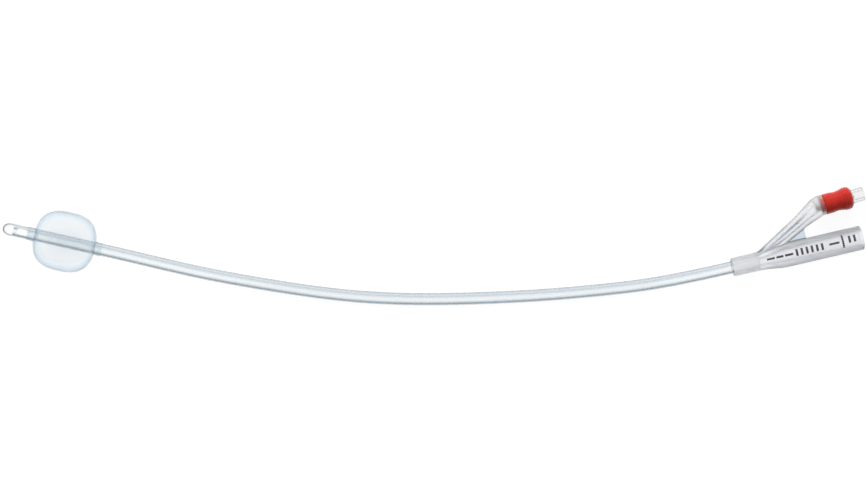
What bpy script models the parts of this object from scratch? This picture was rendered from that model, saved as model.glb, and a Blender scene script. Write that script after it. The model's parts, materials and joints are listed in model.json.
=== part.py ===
# Two-way silicone balloon catheter, lying on a table with its balloon filled with air.
# Metres, Z up. X runs along the drainage funnel towards its mouth and Y towards the
# inflation arm. The pieces are laid out from the point where the shaft enters the funnel's
# collar, and the last step moves the whole catheter to stand on the middle of its own floor area.

import math

import bmesh
import bpy
import numpy as np
from mathutils import Matrix, Vector

# Clearances
BOND_GAP = 0.00012  # between two bonded or plugged pieces
FLOW_GAP = 0.00030  # round the valve's moving pieces, where air or water passes
OVERCUT = 0.0010  # how far a cutter runs out of an open end
WELD_DISTANCE = 0.000005  # points of one surface that are closer than this are one point

# Shaft: an extruded tube with a wide drainage lumen and a narrow inflation lumen
SHAFT_DIAMETER = 0.0060
LUMEN_DIAMETER = 0.0034
LUMEN_OFFSET = 0.00035  # the drainage lumen sits off centre, away from the arm's side
INFLATION_LUMEN_DIAMETER = 0.0008
INFLATION_LUMEN_OFFSET = 0.00215
SHAFT_INSERT = 0.0120  # length held in the funnel moulding
ROUTE_STEP = 0.0125  # between the shaft's rings
ROUTE_SAMPLE = 0.0005  # between the points worked out along its route

# The shaft's route on the table, seen from above, from behind the balloon to the collar,
# as shares of the span between its ends
SHAFT_SPAN = 0.2941
ROUTE = [
    (-1.0000, 0.2591),
    (-0.9323, 0.2254),
    (-0.8565, 0.1884),
    (-0.7800, 0.1547),
    (-0.7032, 0.1234),
    (-0.6253, 0.0952),
    (-0.5464, 0.0721),
    (-0.4665, 0.0534),
    (-0.3859, 0.0374),
    (-0.3047, 0.0235),
    (-0.2231, 0.0121),
    (-0.1408, 0.0034),
    (-0.0575, 0.0003),
    (0.0, 0.0),
]
TIP_HEADING = math.radians(-25.9)  # of the straight stretch from the nose through the balloon
LIFT_RUN = 0.105  # the stretch that rises from the table to that straight one
COLLAR_RUN = 0.045  # the stretch that rises from the table to the collar

# Tip: a moulded nose with a spigot in each lumen
TIP_LENGTH = 0.0050
TIP_STRAIGHT = 0.0012
SPIGOT_LENGTH = 0.0015

# Eyes: two openings that face each other, between the tip and the balloon
EYE_FROM_NOSE = 0.0094
EYE_LENGTH = 0.0048
EYE_WIDTH = 0.0026
EYE_CORNER = 0.0010

# Balloon: a thin sleeve bonded to the shaft by a cuff at each end
BALLOON_FROM_NOSE = 0.0299
BALLOON_LENGTH = 0.0297
BALLOON_DIAMETER = 0.0287
BALLOON_FULLNESS = 2.6  # 2 is an ellipse, more is fuller at the shoulders
BALLOON_WALL = 0.00030
CUFF_LENGTH = 0.0032
SKIVE_DIAMETER = 0.0010  # the hole that lets air from the inflation lumen into the balloon
SKIVE_ANGLE = math.radians(40)

# Funnel moulding: collar, flare, drainage funnel, inflation arm and the web between them
COLLAR_DIAMETER = 0.0089
COLLAR_LENGTH = 0.0116
COLLAR_OVERHANG = 0.0010  # how far the collar reaches forward over the shaft
COLLAR_ROUND = 0.0009
FLARE_END = 0.0260
BODY_DIAMETER = 0.0117
FUNNEL_LENGTH = 0.0631
FUNNEL_WALL = 0.0015
MOUTH_ROUND = 0.0004
THROAT_DIAMETER = 0.0062  # the drainage bore where the flare ends
ARM_ROOT = 0.0100  # where the arm's axis leaves the funnel's
ARM_ANGLE = math.radians(28.2)
ARM_ROOT_DIAMETER = 0.0053
ARM_NECK_DIAMETER = 0.0080
ARM_LENGTH = 0.0413  # from the root to where the arm's axis meets the valve's
ARM_BEND_RADIUS = 0.0065
ARM_SWELL = 0.0150  # the stretch up to the bend's end over which it widens to the lip
LIP_LENGTH = 0.0010  # the straight stretch between the bend and the lip
CHANNEL_ROOT_DIAMETER = 0.0014
CHANNEL_END_DIAMETER = 0.0034
WEB_END = 0.0370
WEB_THICKNESS = 0.0012

# Valve, measured along its own axis from the arm's lip
VALVE_ANGLE = math.radians(2.5)  # between the valve's axis and the funnel's
LIP_WALL = 0.00105
SPIGOT_REACH = 0.0019  # the sleeve's front spigot, inside the arm
SPIGOT_WALL = 0.00075
SLEEVE_LENGTH = 0.0140
SLEEVE_DIAMETER = 0.0100
WAIST_FROM_LIP = 0.0062
WAIST_DIAMETER = 0.0094
FLANGE_FROM_LIP = 0.0114
FLANGE_DIAMETER = 0.0109
FLANGE_END_DIAMETER = 0.0068
SLEEVE_ROUND = 0.0006
RING_COUNT = 3
RING_SPACING = 0.0013
RING_HEIGHT = 0.00015

BASE_NOSE_LENGTH = 0.0025
BASE_NOSE_DIAMETER = 0.0048
BASE_SEAT_LENGTH = 0.0046  # the part of the base that fits the sleeve
BASE_RIM_LENGTH = 0.0009
BASE_RIM_WALL = 0.00030
BASE_FLOOR = 0.0040  # from that part's front face to the floor of the spring's pocket
BASE_CHAMFER = 0.0006
AIR_HOLE_DIAMETER = 0.0012

PORT_REACH = 0.0058  # how far the port stands out of the sleeve
PORT_WALL = 0.00065
PORT_DIAMETER = 0.0067  # outside the sleeve, with a shoulder that rests on the sleeve's end
PORT_MOUTH_ROUND = 0.00025
SOCKET_DEPTH = 0.0090
SOCKET_DIAMETER = 0.0043
SOCKET_TAPER = 0.06  # diameter lost along each unit of depth
SEAT_THICKNESS = 0.0010

STEM_DIAMETER = 0.0020
STEM_BELOW_MOUTH = 0.0048
STEM_CHAMFER = 0.0002
HEAD_DIAMETER = 0.0038
HEAD_THICKNESS = 0.0008
SEAL_DIAMETER = 0.0039
SEAL_THICKNESS = 0.00065
SEAL_EDGE = 0.00016  # how far the seal's rim bulges
GUIDE_DIAMETER = 0.0016
PLUNGER_TRAVEL = 0.0015
SPRING_WIRE = 0.00036
SPRING_DIAMETER = 0.0026  # at the middle of the wire
SPRING_TURNS = 6
SPRING_END_TURNS = 0.7  # closed up at each end
SPRING_END_PITCH = 1.15  # in wires

# Facets
SHAFT_SIDES = 20
LUMEN_SIDES = 12
FUNNEL_SIDES = 24  # of the arm and the drainage bore
TURNED_STEPS = 32
VALVE_STEPS = 28
BALLOON_STEPS = 20
DOME_STEPS = 8
FLARE_STEPS = 7
ARM_STEPS = 9
BEND_STEPS = 7
FLANGE_STEPS = 4
WAIST_STEPS = 8
CORNER_STEPS = 3
SPRING_STEPS = 12  # to a turn
SPRING_SIDES = 6

# Worked out from the sizes above
shaft_radius = SHAFT_DIAMETER / 2
body_radius = BODY_DIAMETER / 2
mouth_bore = body_radius - FUNNEL_WALL
cuff_radius = shaft_radius + BOND_GAP + BALLOON_WALL
socket_radius = shaft_radius + BOND_GAP
socket_end = SHAFT_INSERT + BOND_GAP

chamber_radius = SEAL_DIAMETER / 2 + FLOW_GAP
barrel_radius = chamber_radius + PORT_WALL
sleeve_bore = barrel_radius + BOND_GAP
spigot_radius = sleeve_bore + SPIGOT_WALL
cup_radius = spigot_radius + BOND_GAP
lip_radius = cup_radius + LIP_WALL
nose_cup_radius = BASE_NOSE_DIAMETER / 2 + BOND_GAP

base_seat_start = BOND_GAP - SPIGOT_REACH
base_seat_end = base_seat_start + BASE_SEAT_LENGTH
spring_floor = base_seat_start + BASE_FLOOR
barrel_start = base_seat_end + BOND_GAP
port_shoulder = SLEEVE_LENGTH + BOND_GAP
port_mouth = SLEEVE_LENGTH + PORT_REACH
socket_bottom = port_mouth - SOCKET_DEPTH
seat_face = socket_bottom - SEAT_THICKNESS
seal_back = seat_face - BOND_GAP
seal_front = seal_back - SEAL_THICKNESS
head_back = seal_front - BOND_GAP
head_front = head_back - HEAD_THICKNESS
guide_end = spring_floor + PLUNGER_TRAVEL + FLOW_GAP
stem_radius = STEM_DIAMETER / 2

# The widest round piece carries the moulding on the table
axis_height = max(body_radius, FLANGE_DIAMETER / 2 + RING_HEIGHT)
arm_root = Vector((ARM_ROOT, 0, axis_height))
arm_heading = Vector((math.cos(ARM_ANGLE), math.sin(ARM_ANGLE), 0))
valve_axis = Vector((math.cos(VALVE_ANGLE), math.sin(VALVE_ANGLE), 0))
bend_angle = ARM_ANGLE - VALVE_ANGLE
bend_reach = ARM_BEND_RADIUS * math.tan(bend_angle / 2)
arm_corner = arm_root + arm_heading * ARM_LENGTH
lip_centre = arm_corner + valve_axis * (bend_reach + LIP_LENGTH)


# The shaft's route in space


def spline(points, start_heading, end_heading, spacing):
    # A smooth cubic through the points that keeps the headings given at its two ends
    steps = np.linalg.norm(np.diff(points, axis=0), axis=1)
    count = len(points)
    rows = np.eye(count)
    sides = np.zeros_like(points)
    sides[0] = start_heading
    sides[-1] = end_heading
    for i in range(1, count - 1):
        before, after = steps[i - 1], steps[i]
        rows[i, i - 1 : i + 2] = 1 / before, 2 / before + 2 / after, 1 / after
        sides[i] = 3 * ((points[i] - points[i - 1]) / before**2 + (points[i + 1] - points[i]) / after**2)
    headings = np.linalg.solve(rows, sides)
    line = []
    for i, step in enumerate(steps):
        for t in np.arange(0, 1, spacing / step):
            line.append(
                (2 * t**3 - 3 * t**2 + 1) * points[i]
                + (t**3 - 2 * t**2 + t) * step * headings[i]
                + (3 * t**2 - 2 * t**3) * points[i + 1]
                + (t**3 - t**2) * step * headings[i + 1]
            )
    line.append(points[-1])
    return np.array(line)


def balloon_profile(half_length, half_width, segments):
    # Radius and height from the top cuff's foot to the bottom one's, as a full oval
    top = half_length * (1 - (cuff_radius / half_width) ** BALLOON_FULLNESS) ** (1 / BALLOON_FULLNESS)
    swing = math.acos((top / half_length) ** (BALLOON_FULLNESS / 2))
    profile = []
    for i in range(segments + 1):
        angle = swing + (math.pi - 2 * swing) * i / segments
        side = math.copysign(abs(math.cos(angle)) ** (2 / BALLOON_FULLNESS), math.cos(angle))
        profile.append((half_width * math.sin(angle) ** (2 / BALLOON_FULLNESS), half_length * side))
    return profile


def balloon_lift(tilt):
    # The height of the balloon's centre when its axis rises by tilt and its skin meets the table
    skin = balloon_profile(BALLOON_LENGTH / 2, BALLOON_DIAMETER / 2, 10 * BALLOON_STEPS)
    return max(radius * math.cos(tilt) + height * math.sin(tilt) for radius, height in skin)


def run_along(line):
    # The distance run from a line's first point to each of its points
    return np.concatenate([[0], np.cumsum(np.linalg.norm(np.diff(line, axis=0), axis=1))])


def shaft_route():
    # Positions from the nose to the end held in the moulding, and the distance run at each
    straight = BALLOON_FROM_NOSE + BALLOON_LENGTH / 2 + CUFF_LENGTH + OVERCUT
    tilt = 0.0
    for _ in range(8):
        behind = (straight - BALLOON_FROM_NOSE) * math.sin(tilt)
        rise = balloon_lift(tilt) - behind - shaft_radius
        tilt = math.atan(2 * rise / LIFT_RUN)
    heading = np.array((math.cos(TIP_HEADING), math.sin(TIP_HEADING)))
    plan = spline(np.array(ROUTE) * SHAFT_SPAN, heading, (1, 0), ROUTE_SAMPLE)
    run = run_along(plan)
    # It lifts like a beam off the table, by rise * (2 u^3 - u^4), and eases up to the collar
    u = np.clip(1 - run / LIFT_RUN, 0, 1)
    w = np.clip((run - run[-1] + COLLAR_RUN) / COLLAR_RUN, 0, 1)
    height = shaft_radius + rise * (2 * u**3 - u**4)
    height += (axis_height - shaft_radius) * (3 * w**2 - 2 * w**3)
    ahead = np.arange(straight, 0, -ROUTE_SAMPLE)
    nose = np.column_stack([
        plan[0] - np.outer(ahead, heading) * math.cos(tilt),
        height[0] + ahead * math.sin(tilt),
    ])
    held = np.arange(ROUTE_SAMPLE, SHAFT_INSERT + OVERCUT, ROUTE_SAMPLE)
    insert = np.column_stack([held, 0 * held, 0 * held + axis_height])
    line = np.vstack([nose, np.column_stack([plan, height]), insert])
    distance = run_along(line)
    return line, distance, distance[len(nose) + len(plan) - 1] + SHAFT_INSERT


route, route_distance, shaft_end = shaft_route()
route_heading = np.gradient(route, axis=0)


def at(distance):
    # Position, heading, left hand and upward direction of the shaft's axis, straight past its ends
    inside = min(max(distance, 0), route_distance[-1])
    heading = Vector([np.interp(inside, route_distance, route_heading[:, i]) for i in range(3)]).normalized()
    left = Vector((-heading.y, heading.x, 0)).normalized()
    position = Vector([np.interp(inside, route_distance, route[:, i]) for i in range(3)])
    return position + heading * (distance - inside), heading, left, heading.cross(left)


def stations(start, end):
    count = round((end - start) / ROUTE_STEP)
    return [start + (end - start) * i / count for i in range(count + 1)]


# Building helpers

for leftover in list(bpy.data.objects):
    bpy.data.objects.remove(leftover)

parts = bpy.data.collections.new("urinary_catheter")
cutters = bpy.data.collections.new("cutters")
bpy.context.scene.collection.children.link(parts)
bpy.context.scene.collection.children.link(cutters)
origin = bpy.data.objects.new("catheter_origin", None)
parts.objects.link(origin)


def add_object(name, data, home=cutters, placed=Matrix()):
    made = bpy.data.objects.new(name, data)
    home.objects.link(made)
    made.parent = origin
    made.matrix_local = placed
    if home is cutters:
        made.hide_render = True
        made.display_type = "WIRE"
    return made


def frame_at(position, forward, sideways):
    # A piece's own Z points forward and its X sideways
    across = forward.cross(sideways)
    turn = Matrix((sideways, across, forward)).transposed().to_4x4()
    return Matrix.Translation(position) @ turn


def turned(name, profile, home=cutters, placed=Matrix(), steps=TURNED_STEPS, closed=False):
    # The profile holds radius and height, down its outer side, and spins round its own Z
    mesh = bpy.data.meshes.new(name)
    count = len(profile)
    edges = [(i, i + 1) for i in range(count - 1)]
    if closed:
        edges.append((count - 1, 0))
    mesh.from_pydata([(radius, 0, height) for radius, height in profile], edges, [])
    made = add_object(name, mesh, home, placed)
    screw = made.modifiers.new("Turn", "SCREW")
    screw.steps = steps
    screw.render_steps = steps
    screw.use_merge_vertices = True
    screw.merge_threshold = WELD_DISTANCE
    return made


def tube(name, points, radii, sides, home=cutters):
    # A curve with filled caps, made a mesh so that it can be cut
    curve = bpy.data.curves.new(name, "CURVE")
    curve.dimensions = "3D"
    curve.bevel_depth = 1.0
    curve.bevel_resolution = sides // 2 - 2
    curve.use_fill_caps = True
    line = curve.splines.new("POLY")
    line.points.add(len(points) - 1)
    for point, position, radius in zip(line.points, points, radii):
        point.co = (*position, 1)
        point.radius = radius
    return mesh_from_curve(name, curve, home)


def plate(name, outline, thickness, home=cutters, placed=Matrix()):
    # A flat outline with half its thickness on each side of its own XY plane
    curve = bpy.data.curves.new(name, "CURVE")
    curve.dimensions = "2D"
    curve.fill_mode = "BOTH"
    curve.extrude = thickness / 2
    line = curve.splines.new("POLY")
    line.use_cyclic_u = True
    line.points.add(len(outline) - 1)
    for point, (x, y) in zip(line.points, outline):
        point.co = (x, y, 0, 1)
    return mesh_from_curve(name, curve, home, placed)


def mesh_from_curve(name, curve, home, placed=Matrix()):
    guide = bpy.data.objects.new(name + "_curve", curve)
    cutters.objects.link(guide)
    evaluated = guide.evaluated_get(bpy.context.evaluated_depsgraph_get())
    mesh = bpy.data.meshes.new_from_object(evaluated)
    mesh.name = name
    welded = bmesh.new()
    welded.from_mesh(mesh)
    bmesh.ops.remove_doubles(welded, verts=welded.verts, dist=WELD_DISTANCE)
    bmesh.ops.recalc_face_normals(welded, faces=welded.faces)
    welded.to_mesh(mesh)
    welded.free()
    bpy.data.objects.remove(guide)
    return add_object(name, mesh, home, placed)


def combine(target, tool, operation):
    step = target.modifiers.new(tool.name, "BOOLEAN")
    step.operation = operation
    step.solver = "EXACT"
    step.object = tool


def finish(made, colour, roughness, transmission=0.0):
    # Smooth round faces, crisp edges, and the piece's own material
    made.data.shade_smooth()
    material = bpy.data.materials.new(made.name)
    material.use_nodes = True
    shader = material.node_tree.nodes["Principled BSDF"]
    shader.inputs["Base Color"].default_value = (*colour, 1)
    shader.inputs["Roughness"].default_value = roughness
    shader.inputs["Metallic"].default_value = 0.0
    shader.inputs["Transmission Weight"].default_value = transmission
    material.diffuse_color = (*colour, 1)
    made.data.materials.append(material)


def eased(start, end, share):
    return start + (end - start) * (3 * share**2 - 2 * share**3)


def quarter(radius, height, size, turn):
    # A rounded corner whose outer side starts at the top: turn is 0 at the top, 1 at the bottom
    points = []
    for i in range(CORNER_STEPS + 1):
        angle = math.pi / 2 * (1 - i / CORNER_STEPS - turn)
        points.append((radius - size + size * math.cos(angle), height + size * math.sin(angle)))
    return points


# The shaft and what is bonded to it


def along(start, end, offset):
    # Points beside the shaft's axis, offset to its left, over the same stations as the shaft's own
    places = [at(distance) for distance in stations(start, end)]
    return [position + left * offset for position, _, left, _ in places]


def lumen_cutter(name, start, end, offset, radius):
    # Its two end points lie past the shaft's ends, so that no ring meets the shaft's caps
    points = along(start, end, offset)
    points[0] -= at(start)[1] * OVERCUT
    points[-1] += at(end)[1] * OVERCUT
    return tube(name, points, [radius] * len(points), LUMEN_SIDES)


def rounded_rectangle(length, width, round_radius):
    outline = []
    for k in range(4):
        x = (length / 2 - round_radius) * (1 if k in (0, 3) else -1)
        y = (width / 2 - round_radius) * (1 if k in (0, 1) else -1)
        for i in range(CORNER_STEPS + 1):
            angle = math.pi / 2 * (k + i / CORNER_STEPS)
            outline.append((x + round_radius * math.cos(angle), y + round_radius * math.sin(angle)))
    return outline


def make_shaft():
    start = TIP_LENGTH + BOND_GAP
    points = along(start, shaft_end, 0)
    shaft = tube("shaft", points, [shaft_radius] * len(points), SHAFT_SIDES, parts)
    drainage = lumen_cutter("drainage_lumen", start, shaft_end, -LUMEN_OFFSET, LUMEN_DIAMETER / 2)
    inflation = lumen_cutter(
        "inflation_lumen", start, shaft_end, INFLATION_LUMEN_OFFSET, INFLATION_LUMEN_DIAMETER / 2
    )
    combine(shaft, drainage, "DIFFERENCE")
    combine(shaft, inflation, "DIFFERENCE")

    # One straight cut down through both walls makes the pair of eyes
    position, heading, _, up = at(EYE_FROM_NOSE)
    outline = rounded_rectangle(EYE_LENGTH, EYE_WIDTH, EYE_CORNER)
    eyes = plate("eyes", outline, SHAFT_DIAMETER + 2 * OVERCUT, placed=frame_at(position, up, heading))
    combine(shaft, eyes, "DIFFERENCE")

    # The skive opens the inflation lumen into the balloon, from above and to the left
    position, _, left, up = at(BALLOON_FROM_NOSE)
    outward = left * math.cos(SKIVE_ANGLE) + up * math.sin(SKIVE_ANGLE)
    lumen = position + left * INFLATION_LUMEN_OFFSET
    skive = tube("skive", [lumen, lumen + outward * shaft_radius], [SKIVE_DIAMETER / 2] * 2, LUMEN_SIDES)
    combine(shaft, skive, "DIFFERENCE")
    finish(shaft, (0.80, 0.84, 0.88), 0.25, 0.7)


def make_tip():
    position, heading, left, _ = at(TIP_LENGTH)
    dome = TIP_LENGTH - TIP_STRAIGHT
    profile = []
    for i in range(DOME_STEPS + 1):
        angle = math.pi / 2 * i / DOME_STEPS
        profile.append((shaft_radius * math.sin(angle), TIP_STRAIGHT + dome * math.cos(angle)))
    profile += [(shaft_radius, 0), (0, 0)]
    tip = turned("tip", profile, parts, frame_at(position, -heading, left), SHAFT_SIDES)
    for name, offset, width in (
        ("drainage_spigot", -LUMEN_OFFSET, LUMEN_DIAMETER),
        ("inflation_spigot", INFLATION_LUMEN_OFFSET, INFLATION_LUMEN_DIAMETER),
    ):
        line = [position + left * offset + heading * step for step in (-TIP_STRAIGHT, SPIGOT_LENGTH)]
        combine(tip, tube(name, line, [width / 2 - BOND_GAP] * 2, LUMEN_SIDES), "UNION")
    finish(tip, (0.92, 0.93, 0.94), 0.2, 0.8)


def make_balloon():
    position, heading, left, _ = at(BALLOON_FROM_NOSE)
    skin = balloon_profile(BALLOON_LENGTH / 2, BALLOON_DIAMETER / 2, BALLOON_STEPS)
    cuff = BALLOON_LENGTH / 2 + CUFF_LENGTH
    profile = [(cuff_radius, cuff), *skin, (cuff_radius, -cuff)]
    balloon = turned("balloon", profile, parts, frame_at(position, heading, left))
    wall = balloon.modifiers.new("Wall", "SOLIDIFY")
    wall.thickness = BALLOON_WALL
    wall.offset = -1
    wall.use_even_offset = True
    finish(balloon, (0.84, 0.89, 0.95), 0.15, 0.9)


# The funnel moulding


def facing(position, axis):
    # Lays a turned piece in the moulding's plane, its own Z along the axis
    return frame_at(position, axis, Vector((-axis.y, axis.x, 0)))


funnel_place = facing(Vector((0, 0, axis_height)), Vector((1, 0, 0)))
valve_place = facing(lip_centre, valve_axis)


def funnel_solid():
    # Mouth, straight body, flare and collar, from the mouth down
    collar_radius = COLLAR_DIAMETER / 2
    profile = [(0, FUNNEL_LENGTH)]
    profile += quarter(body_radius, FUNNEL_LENGTH - MOUTH_ROUND, MOUTH_ROUND, 0)
    for i in range(FLARE_STEPS + 1):
        share = i / FLARE_STEPS
        height = FLARE_END + (COLLAR_LENGTH - FLARE_END) * share
        profile.append((eased(body_radius, collar_radius, share), height))
    profile += quarter(collar_radius, COLLAR_ROUND - COLLAR_OVERHANG, COLLAR_ROUND, 1)
    profile.append((0, -COLLAR_OVERHANG))
    return turned("y_funnel", profile, parts, funnel_place)


def arm_line(root_radius, neck_radius, end_radius):
    # Straight from the root, then an arc that turns to run along the valve's axis up to the lip.
    # It widens evenly to the neck's radius, and swells to the end's over the last stretch
    bend_start = arm_corner - arm_heading * bend_reach
    inward = Vector((arm_heading.y, -arm_heading.x, 0))
    centre = bend_start + inward * ARM_BEND_RADIUS
    straight = ARM_LENGTH - bend_reach
    bend_end = straight + ARM_BEND_RADIUS * bend_angle
    points = []
    runs = []
    for i in range(ARM_STEPS):
        points.append(arm_root.lerp(bend_start, i / ARM_STEPS))
        runs.append(straight * i / ARM_STEPS)
    for i in range(BEND_STEPS + 1):
        turn = Matrix.Rotation(-bend_angle * i / BEND_STEPS, 3, "Z")
        points.append(centre - (turn @ inward) * ARM_BEND_RADIUS)
        runs.append(straight + (bend_end - straight) * i / BEND_STEPS)
    radii = []
    for run in runs:
        taper = root_radius + (neck_radius - root_radius) * min(run / straight, 1)
        swell = min(max((run - bend_end + ARM_SWELL) / ARM_SWELL, 0), 1)
        radii.append(taper + eased(0, end_radius - neck_radius, swell))
    return points + [lip_centre], radii + [end_radius]


def make_funnel():
    funnel = funnel_solid()
    line, radii = arm_line(ARM_ROOT_DIAMETER / 2, ARM_NECK_DIAMETER / 2, lip_radius)
    combine(funnel, tube("arm", line, radii, FUNNEL_SIDES), "UNION")

    # The web fills the crotch, from inside the funnel's wall to inside the arm
    web_top = (WEB_END - ARM_ROOT) * math.tan(ARM_ANGLE)
    outline = [(ARM_ROOT, 0), (WEB_END, body_radius - FUNNEL_WALL / 2), (WEB_END, web_top)]
    web = plate("web", outline, WEB_THICKNESS, placed=Matrix.Translation((0, 0, axis_height)))
    combine(funnel, web, "UNION")

    # Socket for the shaft, with its floor at the shaft's end
    outside = -COLLAR_OVERHANG - OVERCUT
    profile = [(0, socket_end), (socket_radius, socket_end), (socket_radius, outside), (0, outside)]
    combine(funnel, turned("shaft_socket", profile, placed=funnel_place), "DIFFERENCE")

    # The drainage bore takes over from the shaft's lumen, widens in the flare and opens to the mouth
    line = [(SHAFT_INSERT - OVERCUT, -LUMEN_OFFSET, axis_height)]
    radii = [LUMEN_DIAMETER / 2]
    for i in range(FLARE_STEPS + 1):
        share = i / FLARE_STEPS
        start = socket_end + OVERCUT / 2
        line.append((start + (FLARE_END - start) * share, eased(-LUMEN_OFFSET, 0, share), axis_height))
        radii.append(eased(LUMEN_DIAMETER / 2, THROAT_DIAMETER / 2, share))
    line.append((FUNNEL_LENGTH + OVERCUT, 0, axis_height))
    radii.append(mouth_bore)
    combine(funnel, tube("drainage_bore", line, radii, FUNNEL_SIDES), "DIFFERENCE")

    # The air channel leaves the inflation lumen and widens up the arm to the valve
    line, radii = arm_line(CHANNEL_ROOT_DIAMETER / 2, CHANNEL_END_DIAMETER / 2, CHANNEL_END_DIAMETER / 2)
    lumen = Vector((socket_end, INFLATION_LUMEN_OFFSET, axis_height))
    ahead = Vector((OVERCUT, 0, 0))
    thin = INFLATION_LUMEN_DIAMETER / 2
    join = ARM_STEPS // 3
    line = [lumen - ahead, lumen + ahead / 2, *line[join:-3]]
    combine(funnel, tube("air_channel", line, [thin, thin, *radii[join:-3]], LUMEN_SIDES), "DIFFERENCE")

    # A stepped cup in the arm's end takes the base's nose and the sleeve's spigot
    step = -SPIGOT_REACH - BOND_GAP
    floor = base_seat_start - BASE_NOSE_LENGTH - BOND_GAP
    profile = [(0, OVERCUT), (cup_radius, OVERCUT), (cup_radius, step)]
    profile += [(nose_cup_radius, step), (nose_cup_radius, floor), (0, floor)]
    combine(funnel, turned("valve_cup", profile, placed=valve_place), "DIFFERENCE")
    finish(funnel, (0.82, 0.83, 0.85), 0.35, 0.4)


# The valve, built along its own axis with zero at the arm's lip


def valve_piece(name, profile, closed=True):
    return turned(name, profile, parts, valve_place, VALVE_STEPS, closed)


def sleeve_radius(height):
    # Straight front, a slight waist, a bulged flange that rounds off at the end
    front = SLEEVE_DIAMETER / 2
    waist = WAIST_DIAMETER / 2
    flange = FLANGE_DIAMETER / 2
    if height < WAIST_FROM_LIP:
        return eased(front, waist, max(0, height / WAIST_FROM_LIP * 2 - 1))
    if height < FLANGE_FROM_LIP:
        return eased(waist, flange, (height - WAIST_FROM_LIP) / (FLANGE_FROM_LIP - WAIST_FROM_LIP))
    share = (height - FLANGE_FROM_LIP) / (SLEEVE_LENGTH - FLANGE_FROM_LIP)
    return FLANGE_END_DIAMETER / 2 + (flange - FLANGE_END_DIAMETER / 2) * math.sqrt(1 - share**2)


def make_sleeve():
    # Down its outer side: the rounded end, the grip rings, the waist and the front
    end = [(sleeve_bore, SLEEVE_LENGTH)]
    first_ring = FLANGE_FROM_LIP - RING_SPACING * (RING_COUNT - 1) / 2
    rings = [first_ring + RING_SPACING * k for k in reversed(range(RING_COUNT))]
    outer = []
    for i in range(FLANGE_STEPS):
        # Closer together towards the end, where the round closes
        share = (i / FLANGE_STEPS) ** 2
        height = SLEEVE_LENGTH + (rings[0] - SLEEVE_LENGTH) * share
        outer.append((sleeve_radius(height), height))
    for ring in rings:
        for height, rise in (
            (ring + RING_SPACING / 4, 0),
            (ring, RING_HEIGHT),
            (ring - RING_SPACING / 4, 0),
        ):
            outer.append((sleeve_radius(height) + rise, height))
    front = BOND_GAP + SLEEVE_ROUND
    for i in range(WAIST_STEPS):
        height = eased(rings[-1] - RING_SPACING / 2, front, i / WAIST_STEPS)
        outer.append((sleeve_radius(height), height))
    outer += quarter(SLEEVE_DIAMETER / 2, front, SLEEVE_ROUND, 1)
    inner = [
        (spigot_radius, BOND_GAP),
        (spigot_radius, -SPIGOT_REACH),
        (sleeve_bore, -SPIGOT_REACH),
    ]
    sleeve = valve_piece("valve_sleeve", end + outer + inner)
    finish(sleeve, (0.62, 0.06, 0.04), 0.25)


def make_base():
    # A stepped plug: nose in the arm, seat in the sleeve, rim in the port's barrel
    nose_radius = BASE_NOSE_DIAMETER / 2
    nose_end = base_seat_start - BASE_NOSE_LENGTH
    rim_end = base_seat_end + BASE_RIM_LENGTH
    rim_radius = chamber_radius - BOND_GAP
    spring_pocket = rim_radius - BASE_RIM_WALL
    profile = [
        (spring_pocket, rim_end),
        (rim_radius, rim_end),
        (rim_radius, base_seat_end),
        (barrel_radius, base_seat_end),
        (barrel_radius, base_seat_start),
        (nose_radius, base_seat_start),
        (nose_radius, nose_end + BASE_CHAMFER),
        (nose_radius - BASE_CHAMFER, nose_end),
        (AIR_HOLE_DIAMETER / 2, nose_end),
        (AIR_HOLE_DIAMETER / 2, spring_floor),
        (spring_pocket, spring_floor),
    ]
    finish(valve_piece("valve_base", profile), (0.90, 0.90, 0.88), 0.3)


def make_port():
    # Socket on the outside, the plunger's seat behind it, and the chamber that the base closes
    mouth_radius = SOCKET_DIAMETER / 2
    bottom_radius = (SOCKET_DIAMETER - SOCKET_DEPTH * SOCKET_TAPER) / 2
    seat_hole = stem_radius + FLOW_GAP
    profile = [(mouth_radius, port_mouth)]
    profile += quarter(PORT_DIAMETER / 2, port_mouth - PORT_MOUTH_ROUND, PORT_MOUTH_ROUND, 0)
    profile += [
        (PORT_DIAMETER / 2, port_shoulder),
        (barrel_radius, port_shoulder),
        (barrel_radius, barrel_start),
        (chamber_radius, barrel_start),
        (chamber_radius, seat_face),
        (seat_hole, seat_face),
        (seat_hole, socket_bottom),
        (bottom_radius, socket_bottom),
    ]
    finish(valve_piece("valve_port", profile), (0.90, 0.91, 0.92), 0.12, 0.8)


def make_plunger():
    # Stem towards the socket, head under the seal, and a guide inside the spring
    stem_end = port_mouth - STEM_BELOW_MOUTH
    guide = GUIDE_DIAMETER / 2
    profile = [
        (0, stem_end),
        (stem_radius - STEM_CHAMFER, stem_end),
        (stem_radius, stem_end - STEM_CHAMFER),
        (stem_radius, head_back),
        (HEAD_DIAMETER / 2, head_back),
        (HEAD_DIAMETER / 2, head_front),
        (guide, head_front),
        (guide, guide_end + STEM_CHAMFER),
        (guide - STEM_CHAMFER, guide_end),
        (0, guide_end),
    ]
    finish(valve_piece("valve_plunger", profile, closed=False), (0.92, 0.92, 0.90), 0.3)


def make_seal():
    # A rubber washer on the stem, between the head and the port's seat
    bore = stem_radius + BOND_GAP
    middle = (seal_back + seal_front) / 2
    profile = [
        (bore, seal_back),
        (SEAL_DIAMETER / 2 - SEAL_EDGE, seal_back),
        (SEAL_DIAMETER / 2, middle),
        (SEAL_DIAMETER / 2 - SEAL_EDGE, seal_front),
        (bore, seal_front),
    ]
    finish(valve_piece("valve_seal", profile), (0.85, 0.84, 0.80), 0.5)


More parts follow.
